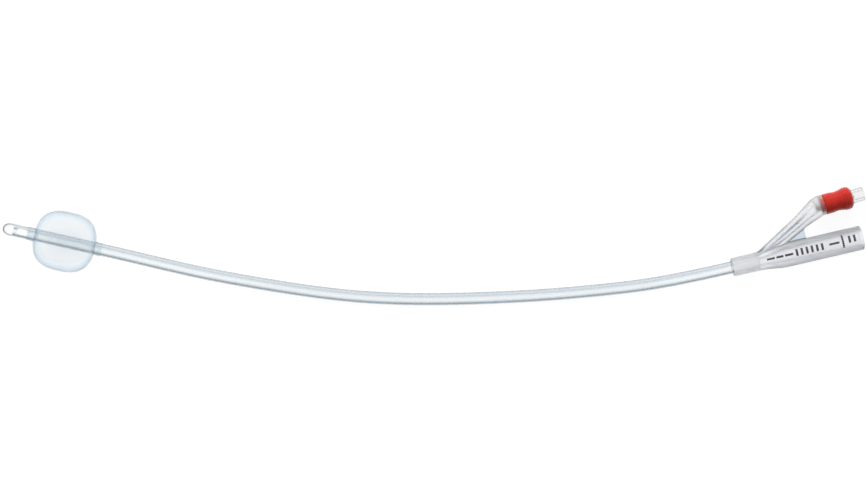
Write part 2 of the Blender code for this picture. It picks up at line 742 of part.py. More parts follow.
def make_spring():
    # A helix from the base's pocket floor to the plunger's head, its end turns close together
    start = spring_floor + BOND_GAP + SPRING_WIRE / 2
    end = head_front - BOND_GAP - SPRING_WIRE / 2
    radius = SPRING_DIAMETER / 2
    end_pitch = SPRING_WIRE * SPRING_END_PITCH
    free_turns = SPRING_TURNS - 2 * SPRING_END_TURNS
    free_pitch = (end - start - 2 * SPRING_END_TURNS * end_pitch) / free_turns
    points = []
    for i in range(SPRING_TURNS * SPRING_STEPS + 1):
        turns = i / SPRING_STEPS
        free = min(max(turns - SPRING_END_TURNS, 0), free_turns)
        height = start + free * free_pitch + (turns - free) * end_pitch
        angle = 2 * math.pi * turns
        points.append(valve_place @ Vector((radius * math.cos(angle), radius * math.sin(angle), height)))
    spring = tube("valve_spring", points, [SPRING_WIRE / 2] * len(points), SPRING_SIDES, parts)
    finish(spring, (0.60, 0.60, 0.62), 0.3)
    spring.data.materials[0].node_tree.nodes["Principled BSDF"].inputs["Metallic"].default_value = 1.0


def stand_on_floor():
    # The origin goes to the floor under the middle of the catheter
    bpy.context.view_layer.update()
    graph = bpy.context.evaluated_depsgraph_get()
    corners = []
    for made in parts.objects:
        if made.type == "MESH":
            evaluated = made.evaluated_get(graph)
            corners += [evaluated.matrix_world @ Vector(vertex.co) for vertex in evaluated.data.vertices]
    low = Vector([min(corner[i] for corner in corners) for i in range(3)])
    high = Vector([max(corner[i] for corner in corners) for i in range(3)])
    origin.location = (-(low.x + high.x) / 2, -(low.y + high.y) / 2, -low.z)


make_shaft()
make_tip()
make_balloon()
make_funnel()
make_sleeve()
make_base()
make_port()
make_plunger()
make_seal()
make_spring()
stand_on_floor()
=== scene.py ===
# A silicone urinary catheter on a white table, its balloon filled with air, seen from above.
# Sizes in the dictionaries are millimetres, everything in Blender is metres.

import json
import math

import bmesh
import bpy
import numpy as np
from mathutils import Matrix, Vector


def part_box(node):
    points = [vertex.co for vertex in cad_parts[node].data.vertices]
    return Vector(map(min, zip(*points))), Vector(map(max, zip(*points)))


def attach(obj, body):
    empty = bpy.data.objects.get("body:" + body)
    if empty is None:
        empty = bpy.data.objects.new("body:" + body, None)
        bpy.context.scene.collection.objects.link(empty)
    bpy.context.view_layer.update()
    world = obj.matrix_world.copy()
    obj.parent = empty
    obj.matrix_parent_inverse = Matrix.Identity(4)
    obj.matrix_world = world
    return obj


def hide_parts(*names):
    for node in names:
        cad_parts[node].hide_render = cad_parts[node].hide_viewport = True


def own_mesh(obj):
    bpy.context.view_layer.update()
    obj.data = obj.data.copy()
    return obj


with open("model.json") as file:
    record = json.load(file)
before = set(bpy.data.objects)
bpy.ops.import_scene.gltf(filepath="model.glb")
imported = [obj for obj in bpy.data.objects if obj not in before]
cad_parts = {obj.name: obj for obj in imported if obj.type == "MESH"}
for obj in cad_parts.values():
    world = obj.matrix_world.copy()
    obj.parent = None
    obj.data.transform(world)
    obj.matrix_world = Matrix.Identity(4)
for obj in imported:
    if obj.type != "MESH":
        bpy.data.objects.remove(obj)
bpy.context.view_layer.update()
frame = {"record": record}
mm = 0.001


# Places taken from the frame: the funnel's axis, the valve's axis and the height they share
mounts = {mount["name"]: mount for mount in frame["record"]["mounts"]}
sleeveLow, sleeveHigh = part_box("valve_sleeve")
axisHeight = (sleeveLow.z + sleeveHigh.z) / 2
funnelMouth = Vector((*mounts["drainage_mouth"]["pos_m"][:2], axisHeight))
valveAxis = Vector(mounts["inflation_port"]["axis"])
valveLine = np.array(valveAxis)


# Small tools for meshes

def pieceFromArrays(name, points, quads, weld=True):
    # points is (n, 3) in metres and quads is (m, 4); points that coincide are merged
    mesh = bpy.data.meshes.new(name)
    mesh.vertices.add(len(points))
    mesh.vertices.foreach_set("co", np.asarray(points, np.float32).ravel())
    mesh.loops.add(quads.size)
    mesh.loops.foreach_set("vertex_index", quads.astype(np.int32).ravel())
    mesh.polygons.add(len(quads))
    mesh.polygons.foreach_set("loop_start", np.arange(0, quads.size, 4, dtype=np.int32))
    mesh.update(calc_edges=True)
    if weld:
        weldMesh(mesh)
    return placed(name, mesh)


def placed(name, data):
    # A new object in the scene, at the origin
    item = bpy.data.objects.new(name, data)
    bpy.context.scene.collection.objects.link(item)
    return item


def weldMesh(mesh, distance=0.001 * mm):
    shape = bmesh.new()
    shape.from_mesh(mesh)
    bmesh.ops.remove_doubles(shape, verts=shape.verts, dist=distance)
    bmesh.ops.recalc_face_normals(shape, faces=shape.faces)
    shape.to_mesh(mesh)
    shape.free()


def gridQuads(rows, columns, first=0, closeRows=False, closeColumns=True):
    # Quads over a grid of points that run row by row; closeColumns joins each row's end to its start
    row, column = np.meshgrid(
        np.arange(rows if closeRows else rows - 1),
        np.arange(columns if closeColumns else columns - 1), indexing="ij",
    )
    nextRow = (row + 1) % rows
    nextColumn = (column + 1) % columns
    corners = [row * columns + column, row * columns + nextColumn]
    corners += [nextRow * columns + nextColumn, nextRow * columns + column]
    return np.stack(corners, axis=-1).reshape(-1, 4) + first


def smoothen(piece, angle=35):
    piece.data.shade_smooth()
    piece.data.set_sharp_from_angle(angle=math.radians(angle))


def eased(start, end, share):
    # From start to end by 3 share squared - 2 share cubed, so that it leaves and arrives level
    share = np.clip(share, 0, 1)
    return start + (end - start) * (3 * share**2 - 2 * share**3)


def roundCorners(profile, size, steps=4, closed=False):
    # Each corner gives way to a parabola that leaves its two sides at most size from the corner
    profile = np.array(profile, float)
    count = len(profile)
    rounded = []
    for i in range(count):
        corner = profile[i]
        if not closed and i in (0, count - 1):
            rounded.append(corner)
            continue
        toBefore = profile[i - 1] - corner
        toAfter = profile[(i + 1) % count] - corner
        before, after = np.linalg.norm(toBefore), np.linalg.norm(toAfter)
        reach = min(size, before * 0.45, after * 0.45)
        start = corner + toBefore / before * reach
        end = corner + toAfter / after * reach
        for t in np.linspace(0, 1, steps):
            rounded.append((1 - t) ** 2 * start + 2 * t * (1 - t) * corner + t**2 * end)
    return np.array(rounded)


def turned(name, profile, centre, axis, sides=96, closed=True):
    # The profile's radius r and height h, in mm, spun round the axis by the angle a:
    # centre + axis h + r (side cos a + across sin a)
    axis = np.array(axis)
    side = np.cross((0, 0, 1), axis)
    side /= np.linalg.norm(side)
    across = np.cross(axis, side)
    angle = np.arange(sides) / sides * 2 * math.pi
    spoke = np.outer(np.cos(angle), side) + np.outer(np.sin(angle), across)
    radius, height = np.array(profile).T * mm
    points = np.array(centre) + height[:, None, None] * axis + radius[:, None, None] * spoke
    return pieceFromArrays(name, points.reshape(-1, 3), gridQuads(len(profile), sides, closeRows=closed))


def cut(piece, tool, operation):
    # A Boolean, applied, and its tool removed
    step = piece.modifiers.new("Cut", "BOOLEAN")
    step.operation, step.solver, step.object = operation, "EXACT", tool
    applied = bpy.data.meshes.new_from_object(piece.evaluated_get(bpy.context.evaluated_depsgraph_get()))
    piece.modifiers.clear()
    piece.data = applied
    bpy.data.objects.remove(tool)


# Small tools for materials

def linear(hexColour):
    # An sRGB hex value as the linear colour that Blender's sockets take
    channels = [int(hexColour[i:i + 2], 16) / 255 for i in (1, 3, 5)]
    return (*[c / 12.92 if c <= 0.04045 else ((c + 0.055) / 1.055) ** 2.4 for c in channels], 1)


def addNode(tree, kind, links={}, **settings):
    # One shader node; links holds its inputs by name or number, each a value or another's output.
    # A Mix of colours takes its share at 0 and its colours at 6 and 7, and gives their mix at 2.
    node = tree.nodes.new("ShaderNode" + kind)
    for key, value in settings.items():
        setattr(node, key, value)
    for key, value in links.items():
        if isinstance(value, bpy.types.NodeSocket):
            tree.links.new(value, node.inputs[key])
        else:
            node.inputs[key].default_value = value
    return node


def newMaterial(name):
    # The material, its node tree and the coordinates that its patterns are laid out in
    material = bpy.data.materials.new(name)
    material.use_nodes = True
    tree = material.node_tree
    tree.nodes.clear()
    return material, tree, addNode(tree, "TexCoord").outputs["Object"]


def unevenGloss(tree, where, grain, low, high, detail=2):
    # A roughness that drifts from low to high over patches as wide as the grain, in mm: nearly all
    # of a noise lies from 0.3 to 0.7
    cloud = addNode(tree, "TexNoise", {
        "Vector": where, "Scale": 1 / (grain * mm), "Detail": detail,
    })
    drift = addNode(tree, "MapRange", {
        "Value": cloud.outputs[0], "From Min": 0.3, "From Max": 0.7, "To Min": low, "To Max": high,
    })
    return drift.outputs[0]


def unevenSkin(tree, where, grain, strength, depth, detail=2):
    # A surface that isn't quite even: bumps as wide as the grain and as high as the depth, both in mm
    cloud = addNode(tree, "TexNoise", {
        "Vector": where, "Scale": 1 / (grain * mm), "Detail": detail,
    })
    bump = addNode(tree, "Bump", {
        "Height": cloud.outputs[0], "Strength": strength, "Distance": depth * mm,
    })
    return bump.outputs[0]


def overlaid(tree, hue, source, start, end, first, last, colour, bend="LINEAR"):
    # A colour laid over hue, as strongly as first where the source is at start, and last at its end
    share = addNode(tree, "MapRange", {
        "Value": source, "From Min": start, "From Max": end, "To Min": first, "To Max": last,
    }, interpolation_type=bend)
    mixed = addNode(tree, "Mix", {0: share.outputs[0], 6: hue, 7: linear(colour)}, data_type="RGBA")
    return mixed.outputs[2]


def paintedEdgeShade(tree, start, end, middle, edge):
    # Painted shade on what is clear: darker where the eye looks along its surface, the middle colour square
    # on, the edge colour along it
    slant = addNode(tree, "LayerWeight", {"Blend": 0.5}).outputs["Facing"]
    return overlaid(tree, linear(middle), slant, start, end, 0.0, 1.0, edge, "SMOOTHSTEP")


def finishClear(tree, shader, facing, edge):
    # Light that passes a clear piece: facing is what a surface lets through square on, edge along it
    path = addNode(tree, "LightPath")
    slant = addNode(tree, "LayerWeight", {"Blend": 0.5})
    kept = addNode(tree, "Mix", {
        0: slant.outputs["Facing"], 6: linear(facing), 7: linear(edge),
    }, data_type="RGBA")
    ghost = addNode(tree, "BsdfTransparent", {"Color": kept.outputs[2]})
    mixed = addNode(tree, "MixShader", {
        0: path.outputs["Is Shadow Ray"], 1: shader.outputs[0], 2: ghost.outputs[0],
    })
    addNode(tree, "OutputMaterial", {"Surface": mixed.outputs[0]})


# The materials

def clearSilicone():
    # Extruded platinum-cured silicone: clear, with a painted blue-grey shade and a painted dark shade line
    # round one side, a satin skin, faint lines along it
    material, tree, _ = newMaterial("clearSilicone")
    uv = addNode(tree, "UVMap", uv_map="run").outputs[0]
    along, around, _ = addNode(tree, "SeparateXYZ", {0: uv}).outputs
    stretched = addNode(tree, "Mapping", {"Vector": uv, "Scale": (0.01, 1, 1)}).outputs[0]
    # Round the tube, from its left side: painted shade, a blue-grey band, then a thin darker line, standing
    # in for the shade that the tube's refraction and shadow give.
    # Each has its middle, where it begins to fade, where it ends, and its colour
    hue = linear("#FCFEFF")
    for middle, full, gone, colour in ((2.4, 1.1, 2.3, "#BECAD4"), (7.15, 0.0, 2.0, "#4C6070")):
        off = addNode(tree, "Math", {0: around, 1: middle * mm}, operation="SUBTRACT")
        off = addNode(tree, "Math", {0: off.outputs[0]}, operation="ABSOLUTE").outputs[0]
        hue = overlaid(tree, hue, off, full * mm, gone * mm, 1.0, 0.0, colour, "SMOOTHSTEP")
    # Where the funnel's adhesive holds it, neither shows
    hue = overlaid(tree, hue, along, collarRunEnd - 1 * mm, collarRunEnd, 0.0, 1.0, "#FFFFFF")
    shader = addNode(tree, "BsdfPrincipled", {
        "Base Color": hue,
        "Roughness": unevenGloss(tree, uv, 14, 0.05, 0.12),
        "IOR": 1.41,
        "Transmission Weight": 1.0,
        "Normal": unevenSkin(tree, stretched, 0.5, 0.01, 0.03, detail=3),
    })
    finishClear(tree, shader, "#FAFCFD", "#8090A0")
    return material


def tipSilicone():
    # Moulded water-clear silicone, polished in its mould
    material, tree, where = newMaterial("tipSilicone")
    # Painted grey shade towards the dome's outline, where the eye looks along it
    shader = addNode(tree, "BsdfPrincipled", {
        "Base Color": paintedEdgeShade(tree, 0.1, 0.5, "#FFFFFF", "#90959A"),
        "Roughness": unevenGloss(tree, where, 1.2, 0.02, 0.07),
        "IOR": 1.41,
        "Transmission Weight": 1.0,
    })
    finishClear(tree, shader, "#FDFDFD", "#A0A4A8")
    return material


def balloonSilicone():
    # Silicone stretched to a thin skin: clear over its face, with a painted highlight ring and bluish painted
    # shade where the eye looks along it
    material, tree, where = newMaterial("balloonSilicone")
    # A breath of blue square on, then a painted highlight ring with none, then more and more blue towards the
    # edge: partly the skin's tint along a longer path, partly painted shade
    slant = addNode(tree, "LayerWeight", {"Blend": 0.5}).outputs["Facing"]
    hue = linear("#F8FBFD")
    for start, end, colour in ((0.03, 0.2, "#FEFFFF"), (0.18, 0.95, "#C4DEF0")):
        hue = overlaid(tree, hue, slant, start, end, 0.0, 1.0, colour)
    shader = addNode(tree, "BsdfPrincipled", {
        "Base Color": hue,
        "Roughness": unevenGloss(tree, where, 9, 0.1, 0.18),
        "IOR": 1.41,
        "Transmission Weight": 1.0,
        "Normal": unevenSkin(tree, where, 3.5, 0.1, 0.1),
    })
    finishClear(tree, shader, "#FEFEFE", "#D0D8E8")
    return material


def funnelSilicone():
    # Injection-moulded silicone, milky: light goes in and comes out soft; the mould's fine satin on it. Its
    # colour holds painted light and painted shade in places
    material, tree, where = newMaterial("funnelSilicone")
    x, y, z = addNode(tree, "SeparateXYZ", {0: where}).outputs
    offPlane = addNode(tree, "Math", {0: z, 1: axisHeight}, operation="SUBTRACT")
    offPlane = addNode(tree, "Math", {0: offPlane.outputs[0]}, operation="ABSOLUTE").outputs[0]
    wall = addNode(tree, "Attribute", attribute_name="paintedChannelShade").outputs["Fac"]
    collarX, lipY = collarPlace[0], collarPlace[1] + lipCentre[1] * mm
    # Painted shade towards the outline, where the eye looks along the surface
    hue = paintedEdgeShade(tree, 0.08, 0.45, "#FDFDFF", "#BCBEC2")
    # Each tint, most of them painted light or shade: what it follows, from where to where, how strong it is
    # there and there, and its colour
    for tint in (
        (x, collarX + 9 * mm, collarX + 20 * mm, 0.75, 0.0, "#FFFFFF"),  # painted light: lighter over the bonded shaft, against the shade seen through the wall
        (y, lipY - 7 * mm, lipY - 4 * mm, 0.0, 0.8, "#FFFFFF"),  # and painted light over the valve's base
        (wall, 0.0, 1.0, 0.0, 1.0, "#7C7C82"),  # painted shade on the channel's wall, on its outer side
        (offPlane, 0.65 * mm, 1.2 * mm, 0.8, 0.0, "#CDDCE8"),  # bluish near the middle plane, over the thin web
    ):
        hue = overlaid(tree, hue, *tint)
    shader = addNode(tree, "BsdfPrincipled", {
        "Base Color": hue,
        "Roughness": unevenGloss(tree, where, 6, 0.3, 0.4),
        "IOR": 1.41,
        "Transmission Weight": 0.95,
        "Normal": unevenSkin(tree, where, 0.35, 0.15, 0.03, detail=3),
    })
    finishClear(tree, shader, "#FCFCFD", "#D4D5D8")
    return material


def clearPlastic():
    # Moulded clear polycarbonate: hard, polished, with painted grey shade at its edges
    material, tree, where = newMaterial("clearPlastic")
    shader = addNode(tree, "BsdfPrincipled", {
        "Base Color": paintedEdgeShade(tree, 0.1, 0.6, "#FDFDFD", "#A8ACAE"),
        "Roughness": unevenGloss(tree, where, 2, 0.02, 0.06),
        "IOR": 1.55,
        "Transmission Weight": 1.0,
    })
    finishClear(tree, shader, "#FBFBFC", "#808488")
    return material


def redPlastic():
    # Injection-moulded polypropylene, red right through, glossy with a faint orange peel
    material, tree, where = newMaterial("redPlastic")
    cloud = addNode(tree, "TexNoise", {"Vector": where, "Scale": 1 / (2.5 * mm)})
    hue = addNode(tree, "Mix", {
        0: cloud.outputs[0], 6: linear("#D62314"), 7: linear("#DC2B1B"),
    }, data_type="RGBA")
    shader = addNode(tree, "BsdfPrincipled", {
        "Base Color": hue.outputs[2],
        "Roughness": unevenGloss(tree, where, 2.5, 0.22, 0.34),
        "IOR": 1.49,
        "Normal": unevenSkin(tree, where, 0.8, 0.12, 0.05),
    })
    addNode(tree, "OutputMaterial", {"Surface": shader.outputs[0]})
    return material


def whitePlastic():
    # Moulded acetal: white, slightly translucent at its edges, satin
    material, tree, where = newMaterial("whitePlastic")
    shader = addNode(tree, "BsdfPrincipled", {
        "Base Color": linear("#EFEFEC"),
        "Roughness": unevenGloss(tree, where, 1.5, 0.28, 0.4),
        "IOR": 1.48,
        "Subsurface Weight": 0.2,
        "Subsurface Radius": (0.8 * mm, 0.7 * mm, 0.6 * mm),
        "Subsurface Scale": 1.0,
    })
    addNode(tree, "OutputMaterial", {"Surface": shader.outputs[0]})
    return material


def sealRubber():
    # Pale nitrile rubber, matt
    material, tree, where = newMaterial("sealRubber")
    shader = addNode(tree, "BsdfPrincipled", {
        "Base Color": linear("#DAD6CC"),
        "Roughness": unevenGloss(tree, where, 0.6, 0.45, 0.6),
        "IOR": 1.52,
    })
    addNode(tree, "OutputMaterial", {"Surface": shader.outputs[0]})
    return material


def springSteel():
    # Drawn stainless wire: bright, with fine draw marks
    material, tree, where = newMaterial("springSteel")
    shader = addNode(tree, "BsdfPrincipled", {
        "Base Color": linear("#C9C8C6"),
        "Metallic": 1.0,
        "Roughness": unevenGloss(tree, where, 0.2, 0.2, 0.35, detail=3),
    })
    addNode(tree, "OutputMaterial", {"Surface": shader.outputs[0]})
    return material


def printInk():
    # Pad-printed grey ink, matt and very slightly uneven
    material, tree, where = newMaterial("printInk")
    patchy = addNode(tree, "TexNoise", {"Vector": where, "Scale": 1 / (0.4 * mm)})
    hue = addNode(tree, "Mix", {
        0: patchy.outputs[0], 6: linear("#48484A"), 7: linear("#66666A"),
    }, data_type="RGBA")
    shader = addNode(tree, "BsdfPrincipled", {"Base Color": hue.outputs[2], "Roughness": 0.55})
    addNode(tree, "OutputMaterial", {"Surface": shader.outputs[0]})
    return material


def settle(piece, material, slot, body, *nodes):
    # The piece's finish, the body it rides on and the solids it stands for
    piece.data.materials.append(material)
    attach(piece, body)
    if nodes:
        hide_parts(*nodes)
    return piece


# The camera looks straight down, turned so that the funnel points up to the right
cameraForm = {
    "place": (-4.24, -1.51, 1200.0),
    "turn": -13.0,  # degrees, of the picture's right side from the funnel's axis
    "lens": 102.8,
}
camera = placed("camera", bpy.data.cameras.new("camera"))
camera.data.lens = cameraForm["lens"]
camera.data.sensor_width = 36
camera.location = Vector(cameraForm["place"]) * mm
camera.rotation_euler = (0, 0, math.radians(cameraForm["turn"]))
bpy.context.scene.camera = camera
pictureUp = Vector((-math.sin(camera.rotation_euler.z), math.cos(camera.rotation_euler.z), 0))
print("camera placed")


# The shaft, its route on the table as in the part's source, from the collar's front
shaftForm = {
    "radius": 3.0,
    "lumenRadius": 1.7,
    "lumenOffset": 0.35,
    "airRadius": 0.4,
    "airOffset": 2.15,
    "insert": 12.0,  # held in the funnel
    "rings": 620,
    "sides": 64,
    "lumenSides": 40,
    "airSides": 16,
    "route": [
        (-294.1, 76.2), (-274.2, 66.3), (-251.9, 55.4), (-229.4, 45.5), (-206.8, 36.3),
        (-183.9, 28.0), (-160.7, 21.2), (-137.2, 15.7), (-113.5, 11.0), (-89.6, 6.9),
        (-65.6, 3.55), (-41.4, 1.0), (-16.9, 0.1), (0.0, 0.0),
    ],
    "tipHeading": -25.9,  # degrees, of the straight stretch through the balloon
    "liftRun": 105.0,  # the stretch that rises from the table to that straight one
    "collarRun": 45.0,  # the stretch that rises from the table to the collar
    "pastCuff": 1.0,  # how far the straight one goes on past the balloon's cuff
    "spare": 1.0,  # how far the axis goes on past the shaft's held end
    "sample": 0.5,  # along the axis
    "rounds": 8,  # of finding the tilt at which the balloon rests on the table
}
eyeForm = {"fromNose": 9.4, "length": 4.8, "width": 2.6, "corner": 1.0, "steps": 8, "reach": 4.0}
tipForm = {"length": 5.0, "straight": 1.2, "edge": 0.06, "spigot": 1.5, "spigotTop": 1.0, "spigotRound": 0.1}
bondGap = 0.12  # between two bonded or plugged pieces
balloonForm = {
    "fromNose": 29.9,
    "length": 29.7,
    "diameter": 28.7,
    "fullness": 2.6,  # 2 is an ellipse, more is fuller at the shoulders
    "cuff": 3.2,
    "cuffWall": 0.14,
    "feather": 0.11,  # how far a cuff's end falls towards the shaft
    "wall": 0.22,  # what the wall tends to, away from the cuffs
    "join": 0.1,  # from a cuff to the skin's first ring
    "steps": 90,
    "cuffSteps": 8,
    "liftSteps": 201,
}
cuffRadius = shaftForm["radius"] + bondGap + balloonForm["cuffWall"]


def balloonOutline(steps):
    # Radius and height in mm of the skin's outer side, a superellipse cut off at the cuffs:
    # (radius / wide) ** power + (height / half) ** power is 1
    half, wide, power = balloonForm["length"] / 2, balloonForm["diameter"] / 2, balloonForm["fullness"]
    top = (1 - (cuffRadius / wide) ** power) ** (1 / power)
    swing = math.acos(top ** (power / 2))
    angle = np.linspace(swing, math.pi - swing, steps)
    side = np.sign(np.cos(angle)) * np.abs(np.cos(angle)) ** (2 / power)
    return np.column_stack([wide * np.sin(angle) ** (2 / power), half * side])


def smoothLine(points, startHeading, endHeading, spacing):
    # A cubic through the points that keeps the headings given at its two ends
    steps = np.linalg.norm(np.diff(points, axis=0), axis=1)
    rows = np.eye(len(points))
    sides = np.zeros_like(points)
    sides[0], sides[-1] = startHeading, endHeading
    for i in range(1, len(points) - 1):
        before, after = steps[i - 1], steps[i]
        rows[i, i - 1:i + 2] = 1 / before, 2 / before + 2 / after, 1 / after
        sides[i] = 3 * ((points[i] - points[i - 1]) / before**2 + (points[i + 1] - points[i]) / after**2)
    headings = np.linalg.solve(rows, sides)
    line = []
    for i, step in enumerate(steps):
        t = np.arange(0, 1, spacing / step)[:, None]
        line.append(
            (2 * t**3 - 3 * t**2 + 1) * points[i] + (t**3 - 2 * t**2 + t) * step * headings[i]
            + (3 * t**2 - 2 * t**3) * points[i + 1] + (t**3 - t**2) * step * headings[i + 1]
        )
    return np.vstack([*line, points[-1:]])


def runAlong(line):
    # The distance run along a line to each of its points
    return np.concatenate([[0], np.cumsum(np.linalg.norm(np.diff(line, axis=0), axis=1))])


def shaftLine():
    # The shaft's axis, from the nose to its held end: straight through the balloon, down to the table
    # by 2 u cubed - u to the fourth, with u from 1 to 0, and up to the collar
    sample, radius = shaftForm["sample"] * mm, shaftForm["radius"] * mm
    liftRun, collarRun = shaftForm["liftRun"] * mm, shaftForm["collarRun"] * mm
    nose = balloonForm["fromNose"] * mm
    straight = nose + (balloonForm["length"] / 2 + balloonForm["cuff"] + shaftForm["pastCuff"]) * mm
    skin = balloonOutline(balloonForm["liftSteps"]) * mm
    tilt = 0.0
    for _ in range(shaftForm["rounds"]):
        lift = np.max(skin[:, 0] * math.cos(tilt) + skin[:, 1] * math.sin(tilt))
        rise = lift - (straight - nose) * math.sin(tilt) - radius
        tilt = math.atan(2 * rise / liftRun)
    turn = math.radians(shaftForm["tipHeading"])
    heading = np.array((math.cos(turn), math.sin(turn)))
    plan = smoothLine(np.array(shaftForm["route"]) * mm, heading, (1, 0), sample)
    run = runAlong(plan)
    u = np.clip(1 - run / liftRun, 0, 1)
    height = radius + rise * (2 * u**3 - u**4)
    height += eased(0, axisHeight - radius, (run - run[-1] + collarRun) / collarRun)
    ahead = np.arange(straight, 0, -sample)
    front = plan[0] - np.outer(ahead, heading) * math.cos(tilt)
    front = np.column_stack([front, height[0] + ahead * math.sin(tilt)])
    held = np.arange(sample, (shaftForm["insert"] + shaftForm["spare"]) * mm, sample)
    back = np.column_stack([held, 0 * held, 0 * held + axisHeight])
    line = np.vstack([front, np.column_stack([plan, height]), back])
    return line + collarPlace, len(front) + len(plan) - 1


funnelForm = {
    "length": 63.1,
    "overhang": 1.0,  # the collar's lip in front of the shaft's entry
    "collarRadius": 4.45,
    "collarLength": 11.6,
    "collarRound": 0.9,
    "flareEnd": 26.0,
    "bodyRadius": 5.85,
    "mouthRound": 0.4,
    "mouthBore": 4.35,
    "throat": 3.1,
    "boreLead": 0.5,  # from the socket's end to where the bore begins to widen
    "boreOverlap": 1.0,  # how far the bore's cut starts inside the socket
    "airOverlap": 1.5,  # how far the air channel's does
    "edgeRound": 0.15,
}
socketRadius = shaftForm["radius"] + bondGap
socketEnd = shaftForm["insert"] + bondGap
collarPlace = np.array((funnelMouth.x - funnelForm["length"] * mm, funnelMouth.y, 0))
collarTop = collarPlace + (0, 0, axisHeight)
axisLine, collarIndex = shaftLine()
axisRun = runAlong(axisLine)
axisHeading = np.gradient(axisLine, axis=0)
collarRunEnd = axisRun[collarIndex]
shaftStart = (tipForm["length"] + bondGap) * mm
shaftEnd = collarRunEnd + shaftForm["insert"] * mm


def shaftAt(run):
    # Place, heading, left and up of the shaft's axis at distances from the nose, in metres, as arrays
    run = np.atleast_1d(run)
    place = np.column_stack([np.interp(run, axisRun, axisLine[:, i]) for i in range(3)])
    heading = np.column_stack([np.interp(run, axisRun, axisHeading[:, i]) for i in range(3)])
    heading /= np.linalg.norm(heading, axis=1)[:, None]
    left = np.column_stack([-heading[:, 1], heading[:, 0], 0 * run])
    left /= np.linalg.norm(left, axis=1)[:, None]
    return place, heading, left, np.cross(heading, left)


def sweep(place, left, up, radius, sides):
    # Rings round a line: place + radius (left cos a + up sin a)
    angle = np.arange(sides) / sides * 2 * math.pi
    ring = np.cos(angle)[None, :, None] * left[:, None, :] + np.sin(angle)[None, :, None] * up[:, None, :]
    return (place[:, None, :] + radius * ring).reshape(-1, 3)


def makeShaft():
    # Three tubes swept along the axis, the outer side and the two holes, joined by a face at each end
    run = np.linspace(shaftStart, shaftEnd, shaftForm["rings"])
    place, heading, left, up = shaftAt(run)
    tubes = [
        (0, shaftForm["radius"], shaftForm["sides"]),
        (-shaftForm["lumenOffset"], shaftForm["lumenRadius"], shaftForm["lumenSides"]),
        (shaftForm["airOffset"], shaftForm["airRadius"], shaftForm["airSides"]),
    ]
    points, quads, mapped, first = [], [], [], 0
    for offset, radius, sides in tubes:
        points.append(sweep(place + left * offset * mm, left, up, radius * mm, sides))
        quads.append(gridQuads(len(run), sides, first))
        # The holes' share of the map lies 100 mm beyond the outer side's
        around = np.arange(sides) / sides * 2 * math.pi * radius * mm + (100 * mm if first else 0)
        mapped.append(np.column_stack([np.repeat(run, sides), np.tile(around, len(run))]))
        first += len(run) * sides
    shaft = pieceFromArrays("shaftTube", np.vstack(points), np.vstack(quads), weld=False)
    layer = shaft.data.uv_layers.new(name="run")
    corner = np.zeros(len(shaft.data.loops), np.int32)
    shaft.data.loops.foreach_get("vertex_index", corner)
    layer.data.foreach_set("uv", np.vstack(mapped)[corner].astype(np.float32).ravel())
    shape = bmesh.new()
    shape.from_mesh(shaft.data)
    rims = [edge for edge in shape.edges if edge.is_boundary]
    middle = (place[0, 0] + place[-1, 0]) / 2
    for atTip in (True, False):
        rim = [edge for edge in rims if (edge.verts[0].co.x < middle) == atTip]
        bmesh.ops.triangle_fill(shape, use_beauty=True, edges=rim)
    bmesh.ops.recalc_face_normals(shape, faces=shape.faces)
    shape.to_mesh(shaft.data)
    shape.free()
    cutEyes(shaft)
    smoothen(shaft, 30)
    return shaft


def cutEyes(shaft):
    # A slot straight down through both walls: an oblong with round corners, swept from below the
    # shaft to above it, place + heading x + left y + up z, and drawn to a point at each end
    place, heading, left, up = [v[0] for v in shaftAt(eyeForm["fromNose"] * mm)]
    corner, reach = eyeForm["corner"], eyeForm["reach"] * mm
    angle = np.arange(4)[:, None] * math.pi / 2 + np.linspace(0, math.pi / 2, eyeForm["steps"])
    x = np.array((1, -1, -1, 1))[:, None] * (eyeForm["length"] / 2 - corner) + corner * np.cos(angle)
    y = np.array((1, 1, -1, -1))[:, None] * (eyeForm["width"] / 2 - corner) + corner * np.sin(angle)
    outline = (np.outer(x, heading) + np.outer(y, left)) * mm
    levels = ((-reach, 0), (-reach, 1), (reach, 1), (reach, 0))
    rings = np.vstack([place + up * z + outline * size for z, size in levels])
    cut(shaft, pieceFromArrays("eyeCutter", rings, gridQuads(len(levels), x.size)), "DIFFERENCE")


def makeTip():
    # A half ellipse turned round the shaft's axis, with a plug for each of its holes
    place, heading, left, up = [v[0] for v in shaftAt(tipForm["length"] * mm)]
    radius, straight, edge = shaftForm["radius"], tipForm["straight"], tipForm["edge"]
    angle = np.linspace(0, math.pi / 2, 24)
    dome = straight + (tipForm["length"] - straight) * np.cos(angle)
    profile = np.column_stack([radius * np.sin(angle), dome])
    profile = np.vstack([profile, [(radius, edge), (radius - edge, 0), (0, 0)]])
    tip = turned("tipDome", profile, place, -heading, sides=shaftForm["sides"], closed=False)
    for offset, radius in (
        (-shaftForm["lumenOffset"], shaftForm["lumenRadius"] - bondGap),
        (shaftForm["airOffset"], shaftForm["airRadius"] - bondGap),
    ):
        low, high = -tipForm["spigot"], tipForm["spigotTop"]
        plug = roundCorners([(0, low), (radius, low), (radius, high), (0, high)], tipForm["spigotRound"])
        middle = place + left * offset * mm
        plug = turned("spigot", plug[::-1], middle, -heading, sides=shaftForm["lumenSides"], closed=False)
        cut(tip, plug, "UNION")
    smoothen(tip)
    return tip


